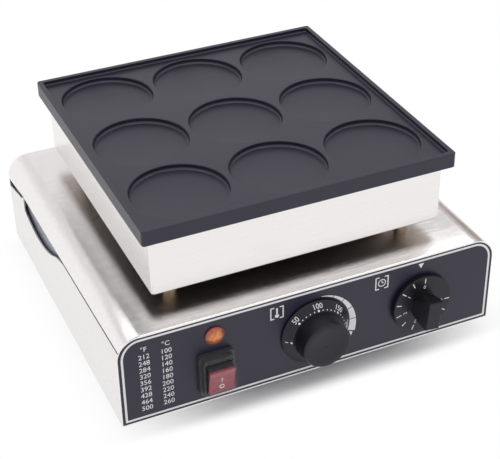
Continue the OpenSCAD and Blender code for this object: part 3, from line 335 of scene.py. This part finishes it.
def product(tree, *factors):
    """All the factors multiplied"""
    return reduce(lambda one, other: joined(tree, "MULTIPLY", one, other), factors)


def even(count):
    """The same count per metre along x, y and z"""
    return count, count, count


def mixed(tree, fac, one, other):
    """Colour between two colours"""
    made = add(tree, "ShaderNodeMix", {"Factor": fac}, data_type="RGBA")
    ends = [s for s in made.inputs if s.type == "RGBA"]
    for socket, value in zip(ends, (one, other)):
        if isinstance(value, bpy.types.NodeSocket):
            tree.links.new(value, socket)
        else:
            socket.default_value = (*value, 1)
    return [s for s in made.outputs if s.type == "RGBA"][0]


def tone(base, factor):
    """The colour made darker or lighter"""
    return tuple(min(1.0, c * factor) for c in base)


def finish(name, base, spread, broad, fine, rough, height, constants=None, detail=2.0, edge=0.0):
    """Principled finish: a broad noise wanders between tones darker and lighter by the spread, a fine one
    moves the roughness over its range and raises a bump of the given height, edges shade as if rounded
    by edge, and constants are set on the shader's sockets. Noises are given in counts per metre."""
    made = bpy.data.materials.new(name)
    made.use_nodes = True
    tree = made.node_tree
    shader = tree.nodes["Principled BSDF"]
    wander = span(tree, noise(tree, broad, detail=3.0), 0, 1)
    grain = noise(tree, fine, detail, shift=(3.1, 1.7, 0.4))
    tree.links.new(mixed(tree, wander, tone(base, 1 - spread), tone(base, 1 + spread)),
                   shader.inputs["Base Color"])
    tree.links.new(span(tree, grain, *rough), shader.inputs["Roughness"])
    relief = add(tree, "ShaderNodeBump", {"Height": grain, "Strength": 1.0, "Distance": height})
    if edge:
        rounded = add(tree, "ShaderNodeBevel", {"Radius": edge})
        tree.links.new(rounded.outputs["Normal"], relief.inputs["Normal"])
    tree.links.new(relief.outputs["Normal"], shader.inputs["Normal"])
    for key, value in (constants or {}).items():
        shader.inputs[key].default_value = value
    return made


def dress(nodes, material):
    """Puts one finish on all material slots of the nodes"""
    for name in nodes:
        mesh = NODES[name].data
        if not mesh.materials:
            mesh.materials.append(material)
        for index in range(len(mesh.materials)):
            mesh.materials[index] = material


def ink():
    """White print, made once: matt, a little uneven as silk-screened ink is"""
    found = bpy.data.materials.get("white_ink")
    base = bpy.context.scene.pancake_finish.ink
    return found or finish("white_ink", base, spread=0.04, broad=even(90), fine=even(2600),
                           rough=(0.42, 0.55), height=4e-6)


class PANCAKE_OT_dress_sheet(Operator):
    """Brushed stainless on the base and the heater box, with painted shade: a darker copy of the stainless on the
    tray, dull grey on the cover's guard plates, a darker underside of the heater box, and near-black steel under
    the box
    """
    bl_idname = "pancake_maker.dress_sheet"
    bl_label = "Dress sheet steel"

    def execute(self, context):
        base = context.scene.pancake_finish.steel
        underside_painted_shade, lip_painted_shade, guard_painted_shade = (0.050, 0.042, 0.038), (0.42, 0.37, 0.34), (0.30, 0.31, 0.37)
        guard_side, guard_top, skin = FILM_HIGH.x - 0.0027, 0.0765, 0.0004
        across = finish("steel_grain_across_shaded_guards", base, spread=0.03, broad=(7, 420, 420), fine=(26, 3600, 3600),
                        rough=(0.18, 0.25), height=8e-5, constants=METAL)
        # painted shade: the tray gets the same stainless made darker by 0.93, for the shade on its upright walls
        along = finish("steel_grain_along_painted_shade", tone(base, 0.93), spread=0.015, broad=(420, 7, 420),
                       fine=(3600, 26, 3600), rough=(0.20, 0.30), height=3e-6, constants=METAL)
        level = finish("steel_grain_level", base, spread=0.007, broad=(7, 7, 420), fine=(26, 26, 3600),
                       rough=(0.23, 0.28), height=1.5e-6, constants=METAL)
        # painted shade: the floor of the heater box is a near-black steel that stands in for the shade under the
        # box
        painted_shade_under_box = finish("steel_painted_shade_under_box", underside_painted_shade, spread=0.2, broad=even(24), fine=even(900),
                        rough=(0.40, 0.55), height=6e-6, constants=METAL)
        boxed = level.copy()
        boxed.name = "steel_heater_box_shaded_under"
        # painted shade: the guard plates that hang in the cover are painted a dull grey, not metal, for the shade
        # they lie in behind the side openings
        self.shade(across, guard_side, guard_top, metallic=0.0, base=guard_painted_shade)
        # painted shade: the underside of the heater box is painted darker than its steel, for the shade under the
        # box
        self.shade(boxed, BOX_HIGH.x - skin, BOX_LOW.z + skin, metallic=1.0, base=lip_painted_shade)
        self.crown(across, reach=0.058, fall=0.0050)
        dress(["top_cover"], across)
        dress(["base_tray"], along)
        dress(["heater_skirt"], boxed)
        dress(["front_panel", "rear_panel"], level)
        dress(["heater_floor"], painted_shade_under_box)
        return {"FINISHED"}

    def shade(self, material, inside, under, metallic, base):
        """Paints shade on what lies nearer to the middle than inside and lower than under, in the colour given:
        the painted shade of the guard plates that hang in the cover, and of the underside of the heater box"""
        tree = material.node_tree
        shader = tree.nodes["Principled BSDF"].inputs
        place = split(tree, coordinates(tree))
        near = joined(tree, "LESS_THAN", joined(tree, "ABSOLUTE", place["X"]), inside)
        here = product(tree, near, joined(tree, "LESS_THAN", place["Z"], under))
        plain = shader["Base Color"].links[0].from_socket
        tree.links.new(mixed(tree, here, plain, base), shader["Base Color"])
        tree.links.new(span(tree, here, 1, metallic, 0, 1), shader["Metallic"])

    def crown(self, material, reach, fall):
        """Bends the cover's reflections as a sheet does that drops a little before its front edge: over the
        reach behind the panel's face the height falls with the square of the way"""
        tree = material.node_tree
        relief = [node for node in tree.nodes if node.type == "BUMP"][0]
        way = span(tree, split(tree, coordinates(tree))["Y"], 0, 1, FILM_HIGH.y + reach, FILM_HIGH.y)
        drop = joined(tree, "POWER", way, 2.0)
        bent = add(tree, "ShaderNodeBump", {"Height": drop, "Strength": 1.0, "Distance": -fall})
        tree.links.new(bent.outputs["Normal"], relief.inputs["Normal"])


class PANCAKE_OT_dress_fasteners(Operator):
    """Zinc plate on screws, nuts and brackets, yellow zinc on the posts, the scaled sheath of the element,
    and bare brass and copper"""
    bl_idname = "pancake_maker.dress_fasteners"
    bl_label = "Dress fasteners and posts"

    def execute(self, context):
        base = context.scene.pancake_finish.zinc
        zinc = finish("zinc_plate", base, spread=0.10, broad=even(160), fine=even(1800), rough=(0.28, 0.45),
                      height=6e-6, constants=METAL)
        yellow = finish("yellow_zinc", (0.34, 0.27, 0.18), spread=0.10, broad=even(160), fine=even(1800),
                        rough=(0.28, 0.45), height=6e-6, constants=METAL)
        sheath = finish("element_scale", (0.30, 0.27, 0.25), spread=0.35, broad=even(60), fine=even(1500),
                        rough=(0.42, 0.62), height=1e-5, constants=METAL)
        brass = finish("bare_brass", (0.72, 0.52, 0.24), spread=0.10, broad=even(220), fine=even(1600),
                       rough=(0.25, 0.42), height=5e-6, constants=METAL)
        copper = finish("bare_copper", (0.72, 0.40, 0.27), spread=0.12, broad=even(140), fine=even(1400),
                        rough=(0.28, 0.46), height=5e-6, constants=METAL)
        dress(SLOT_NODES["zinc_steel"], zinc)
        dress(["support_posts"], yellow)
        dress(SLOT_NODES["element_sheath"], sheath)
        dress(SLOT_NODES["brass"], brass)
        dress(SLOT_NODES["copper_tube"], copper)
        return {"FINISHED"}


class PANCAKE_OT_dress_plate(Operator):
    """Satin black non-stick coating with the fine pebble of a sprayed casting"""
    bl_idname = "pancake_maker.dress_plate"
    bl_label = "Dress cooking plate"

    def execute(self, context):
        base = context.scene.pancake_finish.coating
        sheen = {"Specular IOR Level": 0.69, "Specular Tint": (0.84, 0.81, 1, 1)}
        coat = finish("nonstick_coating", base, spread=0.16, broad=even(45), fine=even(1700),
                      rough=(0.34, 0.44), height=8e-6, constants=sheen, detail=4.0, edge=0.0007)
        dress(SLOT_NODES["coated_casting"], coat)
        return {"FINISHED"}


class PANCAKE_OT_dress_controls(Operator):
    """Panel film, satin plastic of the dials and the switch, rocker, clear boot, lens, gland and feet"""
    bl_idname = "pancake_maker.dress_controls"
    bl_label = "Dress controls"

    def execute(self, context):
        look = context.scene.pancake_finish
        satin = {"Specular IOR Level": 0.45, "Specular Tint": (0.86, 0.83, 1, 1)}
        gloss = {"Coat Weight": 0.3, "Coat Roughness": 0.1}
        film = finish("panel_film", look.film, spread=0.05, broad=even(30), fine=even(5200),
                      rough=(0.34, 0.44), height=4e-6)
        plastic = finish("satin_plastic", look.plastic, spread=0.15, broad=even(80), fine=even(2400),
                         rough=(0.34, 0.46), height=1e-5, constants=satin, edge=0.0005)
        housing = finish("switch_plastic", look.switch, spread=0.12, broad=even(90), fine=even(2000),
                         rough=(0.30, 0.40), height=8e-6)
        rocker = finish("red_plastic", look.rocker, spread=0.08, broad=even(240), fine=even(1500),
                        rough=(0.18, 0.30), height=4e-6, constants=gloss)
        boot = finish("clear_silicone", (0.42, 0.42, 0.44), spread=0.05, broad=even(200), fine=even(1200),
                      rough=(0.08, 0.20), height=6e-6, constants={"Alpha": 0.03})
        rubber = finish("foot_rubber", look.rubber, spread=0.15, broad=even(120), fine=even(2200),
                        rough=(0.62, 0.78), height=2e-5)
        dress(SLOT_NODES["panel_film"], film)
        dress(SLOT_NODES["black_plastic"], plastic)
        dress(["switch_housing"], housing)
        dress(SLOT_NODES["red_plastic"], rocker)
        dress(SLOT_NODES["clear_silicone"], boot)
        dress(SLOT_NODES["foot_rubber"], rubber)
        dress(SLOT_NODES["amber_lens"], self.lens(look.lens))
        return {"FINISHED"}

    def lens(self, base):
        """Amber plastic, light in the middle: the deep red at the rim is painted shade, and the lighter and darker
        facets behind the dome are painted glints
        """
        rim, rim_shade_start, facets_per_metre = (0.22, 0.014, 0.010), 0.6, 420.0
        made = finish("amber_lens", base, spread=0.2, broad=even(260), fine=even(900), rough=(0.12, 0.22),
                      height=1e-5, constants={"Coat Weight": 0.6, "Coat Roughness": 0.08})
        tree = made.node_tree
        shader = tree.nodes["Principled BSDF"]
        middle = (LENS_LOW + LENS_HIGH) / 2
        radius = (LENS_HIGH.x - LENS_LOW.x) / 2
        from_back = mapped(tree, (-middle.x, -LENS_HIGH.y, -middle.z))
        # painted shade: the colour turns deep red towards the rim of the lens
        ring = span(tree, measured(tree, from_back), 0, 1, start=rim_shade_start * radius, end=radius)
        # painted glints: the facets behind the dome make cells lighter and darker
        facets = add(tree, "ShaderNodeTexVoronoi", {"Vector": from_back, "Scale": facets_per_metre})
        glint = span(tree, facets.outputs["Distance"], 0, 1, start=0.0, end=0.9)
        light = mixed(tree, glint, tone(base, 1.25), tone(base, 0.6))
        tree.links.new(mixed(tree, ring, light, rim), shader.inputs["Base Color"])
        return made


class PANCAKE_OT_dress_insides(Operator):
    """Fibre board, pale mouldings, braided leads and wire jackets inside the housing"""
    bl_idname = "pancake_maker.dress_insides"
    bl_label = "Dress insides"

    def execute(self, context):
        board = finish("fibre_board", (0.80, 0.77, 0.69), spread=0.08, broad=(150, 150, 600),
                       fine=(900, 900, 2400), rough=(0.82, 0.95), height=1.2e-4)
        ceramic = finish("pale_moulding", (0.80, 0.79, 0.73), spread=0.05, broad=even(90), fine=even(1300),
                         rough=(0.35, 0.5), height=1e-5)
        braid = finish("glass_braid", (0.78, 0.75, 0.66), spread=0.12, broad=even(700), fine=even(2200),
                       rough=(0.7, 0.9), height=6e-5)
        jacket = finish("wire_jacket", (0.20, 0.03, 0.03), spread=0.12, broad=even(160), fine=even(1500),
                        rough=(0.4, 0.55), height=8e-6)
        dress(SLOT_NODES["fibre_board"], board)
        dress(SLOT_NODES["pale_ceramic"], ceramic)
        dress(SLOT_NODES["glass_braid"], braid)
        dress(SLOT_NODES["wire_jacket"], jacket)
        return {"FINISHED"}


# Printed marks

def film_loop(side, top, foot, corner, steps=12):
    """Outline of the film drawn in by side, top and foot: square below, and at the upper corners
    quarter ellipses about the middles of the film's own corners"""
    wide, tall = corner - side, corner - top
    right, left = FILM_HIGH.x - corner, FILM_LOW.x + corner
    high, low = FILM_HIGH.z - corner, FILM_LOW.z + foot
    a = np.linspace(0, np.pi / 2, steps)
    arc = np.stack([wide * np.cos(a), tall * np.sin(a)], axis=1)
    return np.concatenate([[[left - wide, low], [right + wide, low]], arc + [right, high],
                           arc[::-1] * [-1, 1] + [left, high]])


class PANCAKE_OT_panel_stripe(Operator):
    """White stripe that follows the border of the panel film"""
    bl_idname = "pancake_maker.panel_stripe"
    bl_label = "Print border stripe"

    def execute(self, context):
        sizes = context.scene.pancake_print
        insets = np.array([sizes.stripe_side, sizes.stripe_top, sizes.stripe_foot])
        outer = film_loop(*insets, sizes.film_corner)
        inner = film_loop(*(insets + sizes.stripe_width), sizes.film_corner)
        piece("panel_stripe", [(on_film, band(outer, inner, closed=True))], "housing", ink())
        return {"FINISHED"}


class PANCAKE_OT_panel_table(Operator):
    """Two columns of plain temperatures, degrees Fahrenheit beside degrees Celsius"""
    bl_idname = "pancake_maker.panel_table"
    bl_label = "Print temperature table"

    def execute(self, context):
        sizes = context.scene.pancake_print
        columns = (-0.1352, -0.1183)
        head_z, first_z = 0.0752, 0.0686
        celsius = range(100, 280, 20)
        rows = [("°F", "°C", head_z)]
        rows += [(str(c * 9 // 5 + 32), str(c), first_z - i * sizes.row_pitch)
                 for i, c in enumerate(celsius)]
        placed = [(on_film, sized(figure(text), sizes.figure_height, x, z))
                  for *pair, z in rows for text, x in zip(pair, columns)]
        piece("panel_table", placed, "housing", ink())
        return {"FINISHED"}


class PANCAKE_OT_panel_signs(Operator):
    """Thermometer and clock signs in square brackets, and the timer's pointer"""
    bl_idname = "pancake_maker.panel_signs"
    bl_label = "Print panel signs"

    def execute(self, context):
        line = context.scene.pancake_print.sign_line
        bulb, clock, pointer = (-0.0310, 0.0708), (0.0565, 0.0735), (0.0902, 0.0769)
        bracket_z, opening = 0.0735, 0.0022
        bulb_r, stem = 0.0017, (-0.0007, 0.0007, 0.0012, 0.0070)
        clock_r, clock_hole, hand_line = 0.0034, 0.0027, 0.0006
        shapes = []
        for x, half, tall in ((bulb[0], 0.0050, 0.0050), (clock[0], 0.0052, 0.0053)):
            for side in (-1, 1):
                path = np.array([[side * opening, tall], [side * half, tall],
                                 [side * half, -tall], [side * opening, -tall]])
                shapes.append((stroke(path, line), (x, bracket_z)))
        hands = np.array([[0.0, 0.0022], [0.0, 0.0], [0.0015, 0.0]])
        shapes += [(dot(bulb_r), bulb), (bar(*stem), bulb),
                   (band(ring_loop(clock_r), ring_loop(clock_hole), closed=True), clock),
                   (stroke(hands, hand_line), clock), (wedge(half=0.0024, top=0.0042, tip=0.0), pointer)]
        placed = [(on_film, sized(shape, 1.0, *place)) for shape, place in shapes]
        piece("panel_signs", placed, "housing", ink())
        return {"FINISHED"}


class PANCAKE_OT_heat_arc(Operator):
    """Arc of five blocks round the thermostat that grows wider clockwise, with a pointer at its end"""
    bl_idname = "pancake_maker.heat_arc"
    bl_label = "Print heat arc"

    def execute(self, context):
        inner = context.scene.pancake_print.arc_radius
        axis = PIVOT["thermostat_turn"]
        first, last, blocks, gap = math.radians(10.7), math.radians(108.6), 5, math.radians(1.2)
        narrow, growth, steps = 0.0003, 0.0063, 10
        cuts = np.linspace(first, last + gap, blocks + 1)
        bands = []
        for start, end in zip(cuts[:-1], cuts[1:] - gap):
            turns = np.linspace(start, end, steps)
            outer = inner + narrow + growth * (turns - first) / (last - first)
            bands.append(self.sector(turns, outer, inner))
        tip_and_base, lower, upper = np.radians([110.5, 116.6]), (0.0317, 0.0349), (0.0349, 0.0351)
        bands.append(self.sector(tip_and_base, lower, upper))
        placed = [(on_film, sized(shape, 1.0, axis.x, axis.z)) for shape in bands]
        piece("heat_arc", placed, "housing", ink())
        return {"FINISHED"}

    def sector(self, turns, one, other):
        """Band between two radii at each clockwise angle from the top"""
        way = np.stack([np.sin(turns), np.cos(turns)], axis=1)
        return band(way * np.reshape(one, (-1, 1)), way * np.reshape(other, (-1, 1)))


class PANCAKE_OT_thermostat_marks(Operator):
    """Plain temperatures and dots on the cone of the thermostat dial"""
    bl_idname = "pancake_maker.thermostat_marks"
    bl_label = "Print thermostat dial"

    def execute(self, context):
        sizes = context.scene.pancake_print
        axis = PIVOT["thermostat_turn"]
        back = SKIRT_HIGH.y
        rim, foot, edge, top = 0.0280, 0.0212, 0.0010, 0.0068
        slope = (top - edge) / (rim - foot)
        tilt = math.atan(slope)

        def at(radius, angle):
            return on_dial(axis, back, radius, edge + (rim - radius) * slope, tilt, angle)

        dots_r, figures_r, large, small = 0.0223, 0.0252, 0.00085, 0.00045
        off_mark = bar(-0.0003, 0.0003, -0.0012, 0.0012)
        placed = []
        for k in range(7):
            angle = (k - 2) * sizes.dial_step
            placed.append((at(dots_r, angle), dot(large)))
            if k:
                placed.append((at(figures_r, angle), sized(figure(str(50 * k)), sizes.dial_figure)))
            if k > 1:
                between = angle - sizes.dial_step * np.arange(1, 5) / 5
                placed += [(at(dots_r, a), dot(small)) for a in between]
        placed.append((at(figures_r, -2 * sizes.dial_step), off_mark))
        piece("thermostat_marks", placed, "thermostat_dial", ink())
        return {"FINISHED"}


class PANCAKE_OT_timer_marks(Operator):
    """Ticks and plain figures on the front of the timer dial"""
    bl_idname = "pancake_maker.timer_marks"
    bl_label = "Print timer dial"

    def execute(self, context):
        sizes = context.scene.pancake_print
        axis = PIVOT["timer_turn"]
        thickness, ticks_r, figures_r, first = 0.0040, 0.0215, 0.0160, math.radians(3)
        tick = bar(-0.0004, 0.0004, -0.0022, 0.0021)
        placed = []
        for k in range(11):
            angle = first - k * sizes.timer_step
            place = on_dial(axis, TIMER_HIGH.y, ticks_r, thickness, 0.0, angle)
            placed.append((place, tick))
            if k % 2 == 0:
                place = on_dial(axis, TIMER_HIGH.y, figures_r, thickness, 0.0, angle)
                placed.append((place, sized(figure(str(k // 2)), sizes.timer_figure)))
        piece("timer_marks", placed, "timer_dial", ink())
        return {"FINISHED"}


class PANCAKE_OT_rocker_marks(Operator):
    """Line and circle of the two switch positions"""
    bl_idname = "pancake_maker.rocker_marks"
    bl_label = "Print rocker"

    def execute(self, context):
        line, ring_v = bar(-0.0004, 0.0004, -0.0007, 0.0032), -0.0055
        ring = band(ring_loop(0.0020), ring_loop(0.0013), closed=True)
        placed = [(on_rocker, line), (on_rocker, sized(ring, 1.0, 0.0, ring_v))]
        piece("rocker_marks", placed, "rocker", ink())
        return {"FINISHED"}


# Stage

class PANCAKE_OT_stage(Operator):
    """Pale floor, soft light from all sides with one wide lamp overhead, and the camera"""
    bl_idname = "pancake_maker.stage"
    bl_label = "Set stage"

    def execute(self, context):
        settings = context.scene.pancake_stage
        self.lay_floor(context, settings)
        self.light(context, settings)
        self.aim_camera(context, settings)
        context.scene.view_settings.view_transform = "Standard"
        return {"FINISHED"}

    def seen(self, tree):
        """Two flags: for what the camera sees directly, and for that or what it sees in a reflection or
        through glass"""
        path = add(tree, "ShaderNodeLightPath").outputs
        either = joined(tree, "MAXIMUM", path["Is Camera Ray"], path["Is Glossy Ray"])
        return path["Is Camera Ray"], joined(tree, "MAXIMUM", either, path["Is Transmission Ray"])

    def lay_floor(self, context, settings):
        """Flat square under the feet: near the middle of the base's front and back it is lit and keeps
        the shadow, and farther out, and by degrees towards the sides, it turns to a white of its own where
        it is seen"""
        half, core, shift, side_weight = 4.0, 0.045, 0.01, 0.12
        none = (0, 0, 0)
        corners = [(-half, -half, 0), (half, -half, 0), (half, half, 0), (-half, half, 0)]
        mesh = bpy.data.meshes.new("floor")
        mesh.from_pydata(corners, [], [(0, 1, 2, 3)])
        material = bpy.data.materials.new("pale_floor")
        material.use_nodes = True
        tree = material.node_tree
        tree.nodes.clear()
        _, seen = self.seen(tree)
        away = coordinates(tree)
        for operation, other in (("SUBTRACT", (shift, 0, 0)), ("ABSOLUTE", none),
                                 ("SUBTRACT", (core, -FILM_LOW.y, 0)), ("MAXIMUM", none),
                                 ("MULTIPLY", (side_weight, 1, 1))):
            step = add(tree, "ShaderNodeVectorMath", {0: away, 1: other}, operation=operation)
            away = step.outputs["Vector"]
        reach = settings.shadow_reach
        faded = span(tree, measured(tree, away), 0, 1, start=0, end=reach, blend="SMOOTHSTEP")
        own = product(tree, seen, faded)
        lit = add(tree, "ShaderNodeBsdfDiffuse", {"Color": (*settings.floor, 1)})
        white = add(tree, "ShaderNodeEmission", {"Color": (*WHITE, 1), "Strength": 1.0})
        both = add(tree, "ShaderNodeMixShader", {0: own, 1: lit.outputs[0], 2: white.outputs[0]})
        add(tree, "ShaderNodeOutputMaterial", {"Surface": both.outputs[0]})
        mesh.materials.append(material)
        floor = bpy.data.objects.new("floor", mesh)
        context.scene.collection.objects.link(floor)

    def light(self, context, settings):
        """White room that reflections show warm and dim low at the back right, with a grey band across
        the back, and a wide lamp overhead"""
        warm_tone, band_tone = (0.33, 0.25, 0.235), (0.35, 0.345, 0.35)
        world = bpy.data.worlds.new("white_room")
        context.scene.world = world
        world.use_nodes = True
        tree = world.node_tree
        tree.nodes.clear()
        camera, seen = self.seen(tree)
        way = split(tree, coordinates(tree, "Generated"))
        behind = span(tree, way["Y"], 0, 1, start=0.2, end=0.5)
        right = span(tree, way["X"], 0, 1, start=0.44, end=0.70)
        low = span(tree, way["Z"], 1, 0, start=0.58, end=0.75)
        band_foot = span(tree, way["Z"], 0, 1, start=0.545, end=0.60)
        band_top = span(tree, way["Z"], 1, 0, start=0.66, end=0.74)
        walls = mixed(tree, product(tree, right, low, behind), WHITE, warm_tone)
        walls = mixed(tree, product(tree, behind, band_foot, band_top), walls, band_tone)
        shown = mixed(tree, camera, walls, WHITE)
        ambient = add(tree, "ShaderNodeBackground", {"Color": (*WHITE, 1), "Strength": settings.room})
        white = add(tree, "ShaderNodeBackground", {"Color": shown, "Strength": 1.0})
        both = add(tree, "ShaderNodeMixShader", {0: seen, 1: ambient.outputs[0], 2: white.outputs[0]})
        add(tree, "ShaderNodeOutputWorld", {"Surface": both.outputs[0]})
        lamp = bpy.data.lights.new("overhead", type="AREA")
        lamp.shape = "RECTANGLE"
        lamp.size, lamp.size_y = 2.4, 1.2
        lamp.energy = settings.key_power
        holder = bpy.data.objects.new("overhead", lamp)
        holder.location = (0.15, 0.25, 1.6)
        context.scene.collection.objects.link(holder)

    def aim_camera(self, context, settings):
        """Camera on a sphere round the target, rolled about its line of sight"""
        az, el, roll = settings.azimuth, settings.elevation, settings.roll
        back = Vector((math.sin(az) * math.cos(el), -math.cos(az) * math.cos(el), math.sin(el)))
        side = (-back).cross(Vector((0, 0, 1))).normalized()
        up = side.cross(-back)
        across = side * math.cos(roll) + up * math.sin(roll)
        upright = up * math.cos(roll) - side * math.sin(roll)
        lens = bpy.data.cameras.new("camera")
        lens.sensor_fit = "HORIZONTAL"
        lens.sensor_width = 36
        lens.lens = settings.lens
        camera = bpy.data.objects.new("camera", lens)
        turned = Matrix((across, upright, back)).transposed().to_4x4()
        moved = Matrix.Translation(Vector(settings.target) + back * settings.distance)
        camera.matrix_world = moved @ turned
        context.scene.collection.objects.link(camera)
        context.scene.camera = camera


STEPS = (
    PANCAKE_OT_dress_sheet, PANCAKE_OT_dress_fasteners, PANCAKE_OT_dress_plate, PANCAKE_OT_dress_controls,
    PANCAKE_OT_dress_insides, PANCAKE_OT_panel_stripe, PANCAKE_OT_panel_table, PANCAKE_OT_panel_signs,
    PANCAKE_OT_heat_arc, PANCAKE_OT_thermostat_marks, PANCAKE_OT_timer_marks, PANCAKE_OT_rocker_marks,
    PANCAKE_OT_stage,
)
GROUPS = {"pancake_print": PancakePrint, "pancake_finish": PancakeFinish, "pancake_stage": PancakeStage}


class PANCAKE_PT_sidebar(Panel):
    """Lists the steps and the values that they use"""
    bl_idname = "PANCAKE_PT_sidebar"
    bl_label = "Mini Pancake Maker"
    bl_space_type = "VIEW_3D"
    bl_region_type = "UI"
    bl_category = "Pancake Maker"

    def draw(self, context):
        for step in STEPS:
            self.layout.operator(step.bl_idname)
        for name, group in GROUPS.items():
            box = self.layout.box()
            for key in group.__annotations__:
                box.prop(getattr(context.scene, name), key)


def register():
    for cls in (*GROUPS.values(), *STEPS, PANCAKE_PT_sidebar):
        bpy.utils.register_class(cls)
    for name, group in GROUPS.items():
        setattr(bpy.types.Scene, name, PointerProperty(type=group))


def unregister():
    for name in GROUPS:
        delattr(bpy.types.Scene, name)
    for cls in (PANCAKE_PT_sidebar, *reversed(STEPS), *GROUPS.values()):
        bpy.utils.unregister_class(cls)


def main():
    """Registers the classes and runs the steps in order"""
    register()
    for step in STEPS:
        family, name = step.bl_idname.split(".")
        getattr(getattr(bpy.ops, family), name)()


if __name__ == "__main__":
    main()
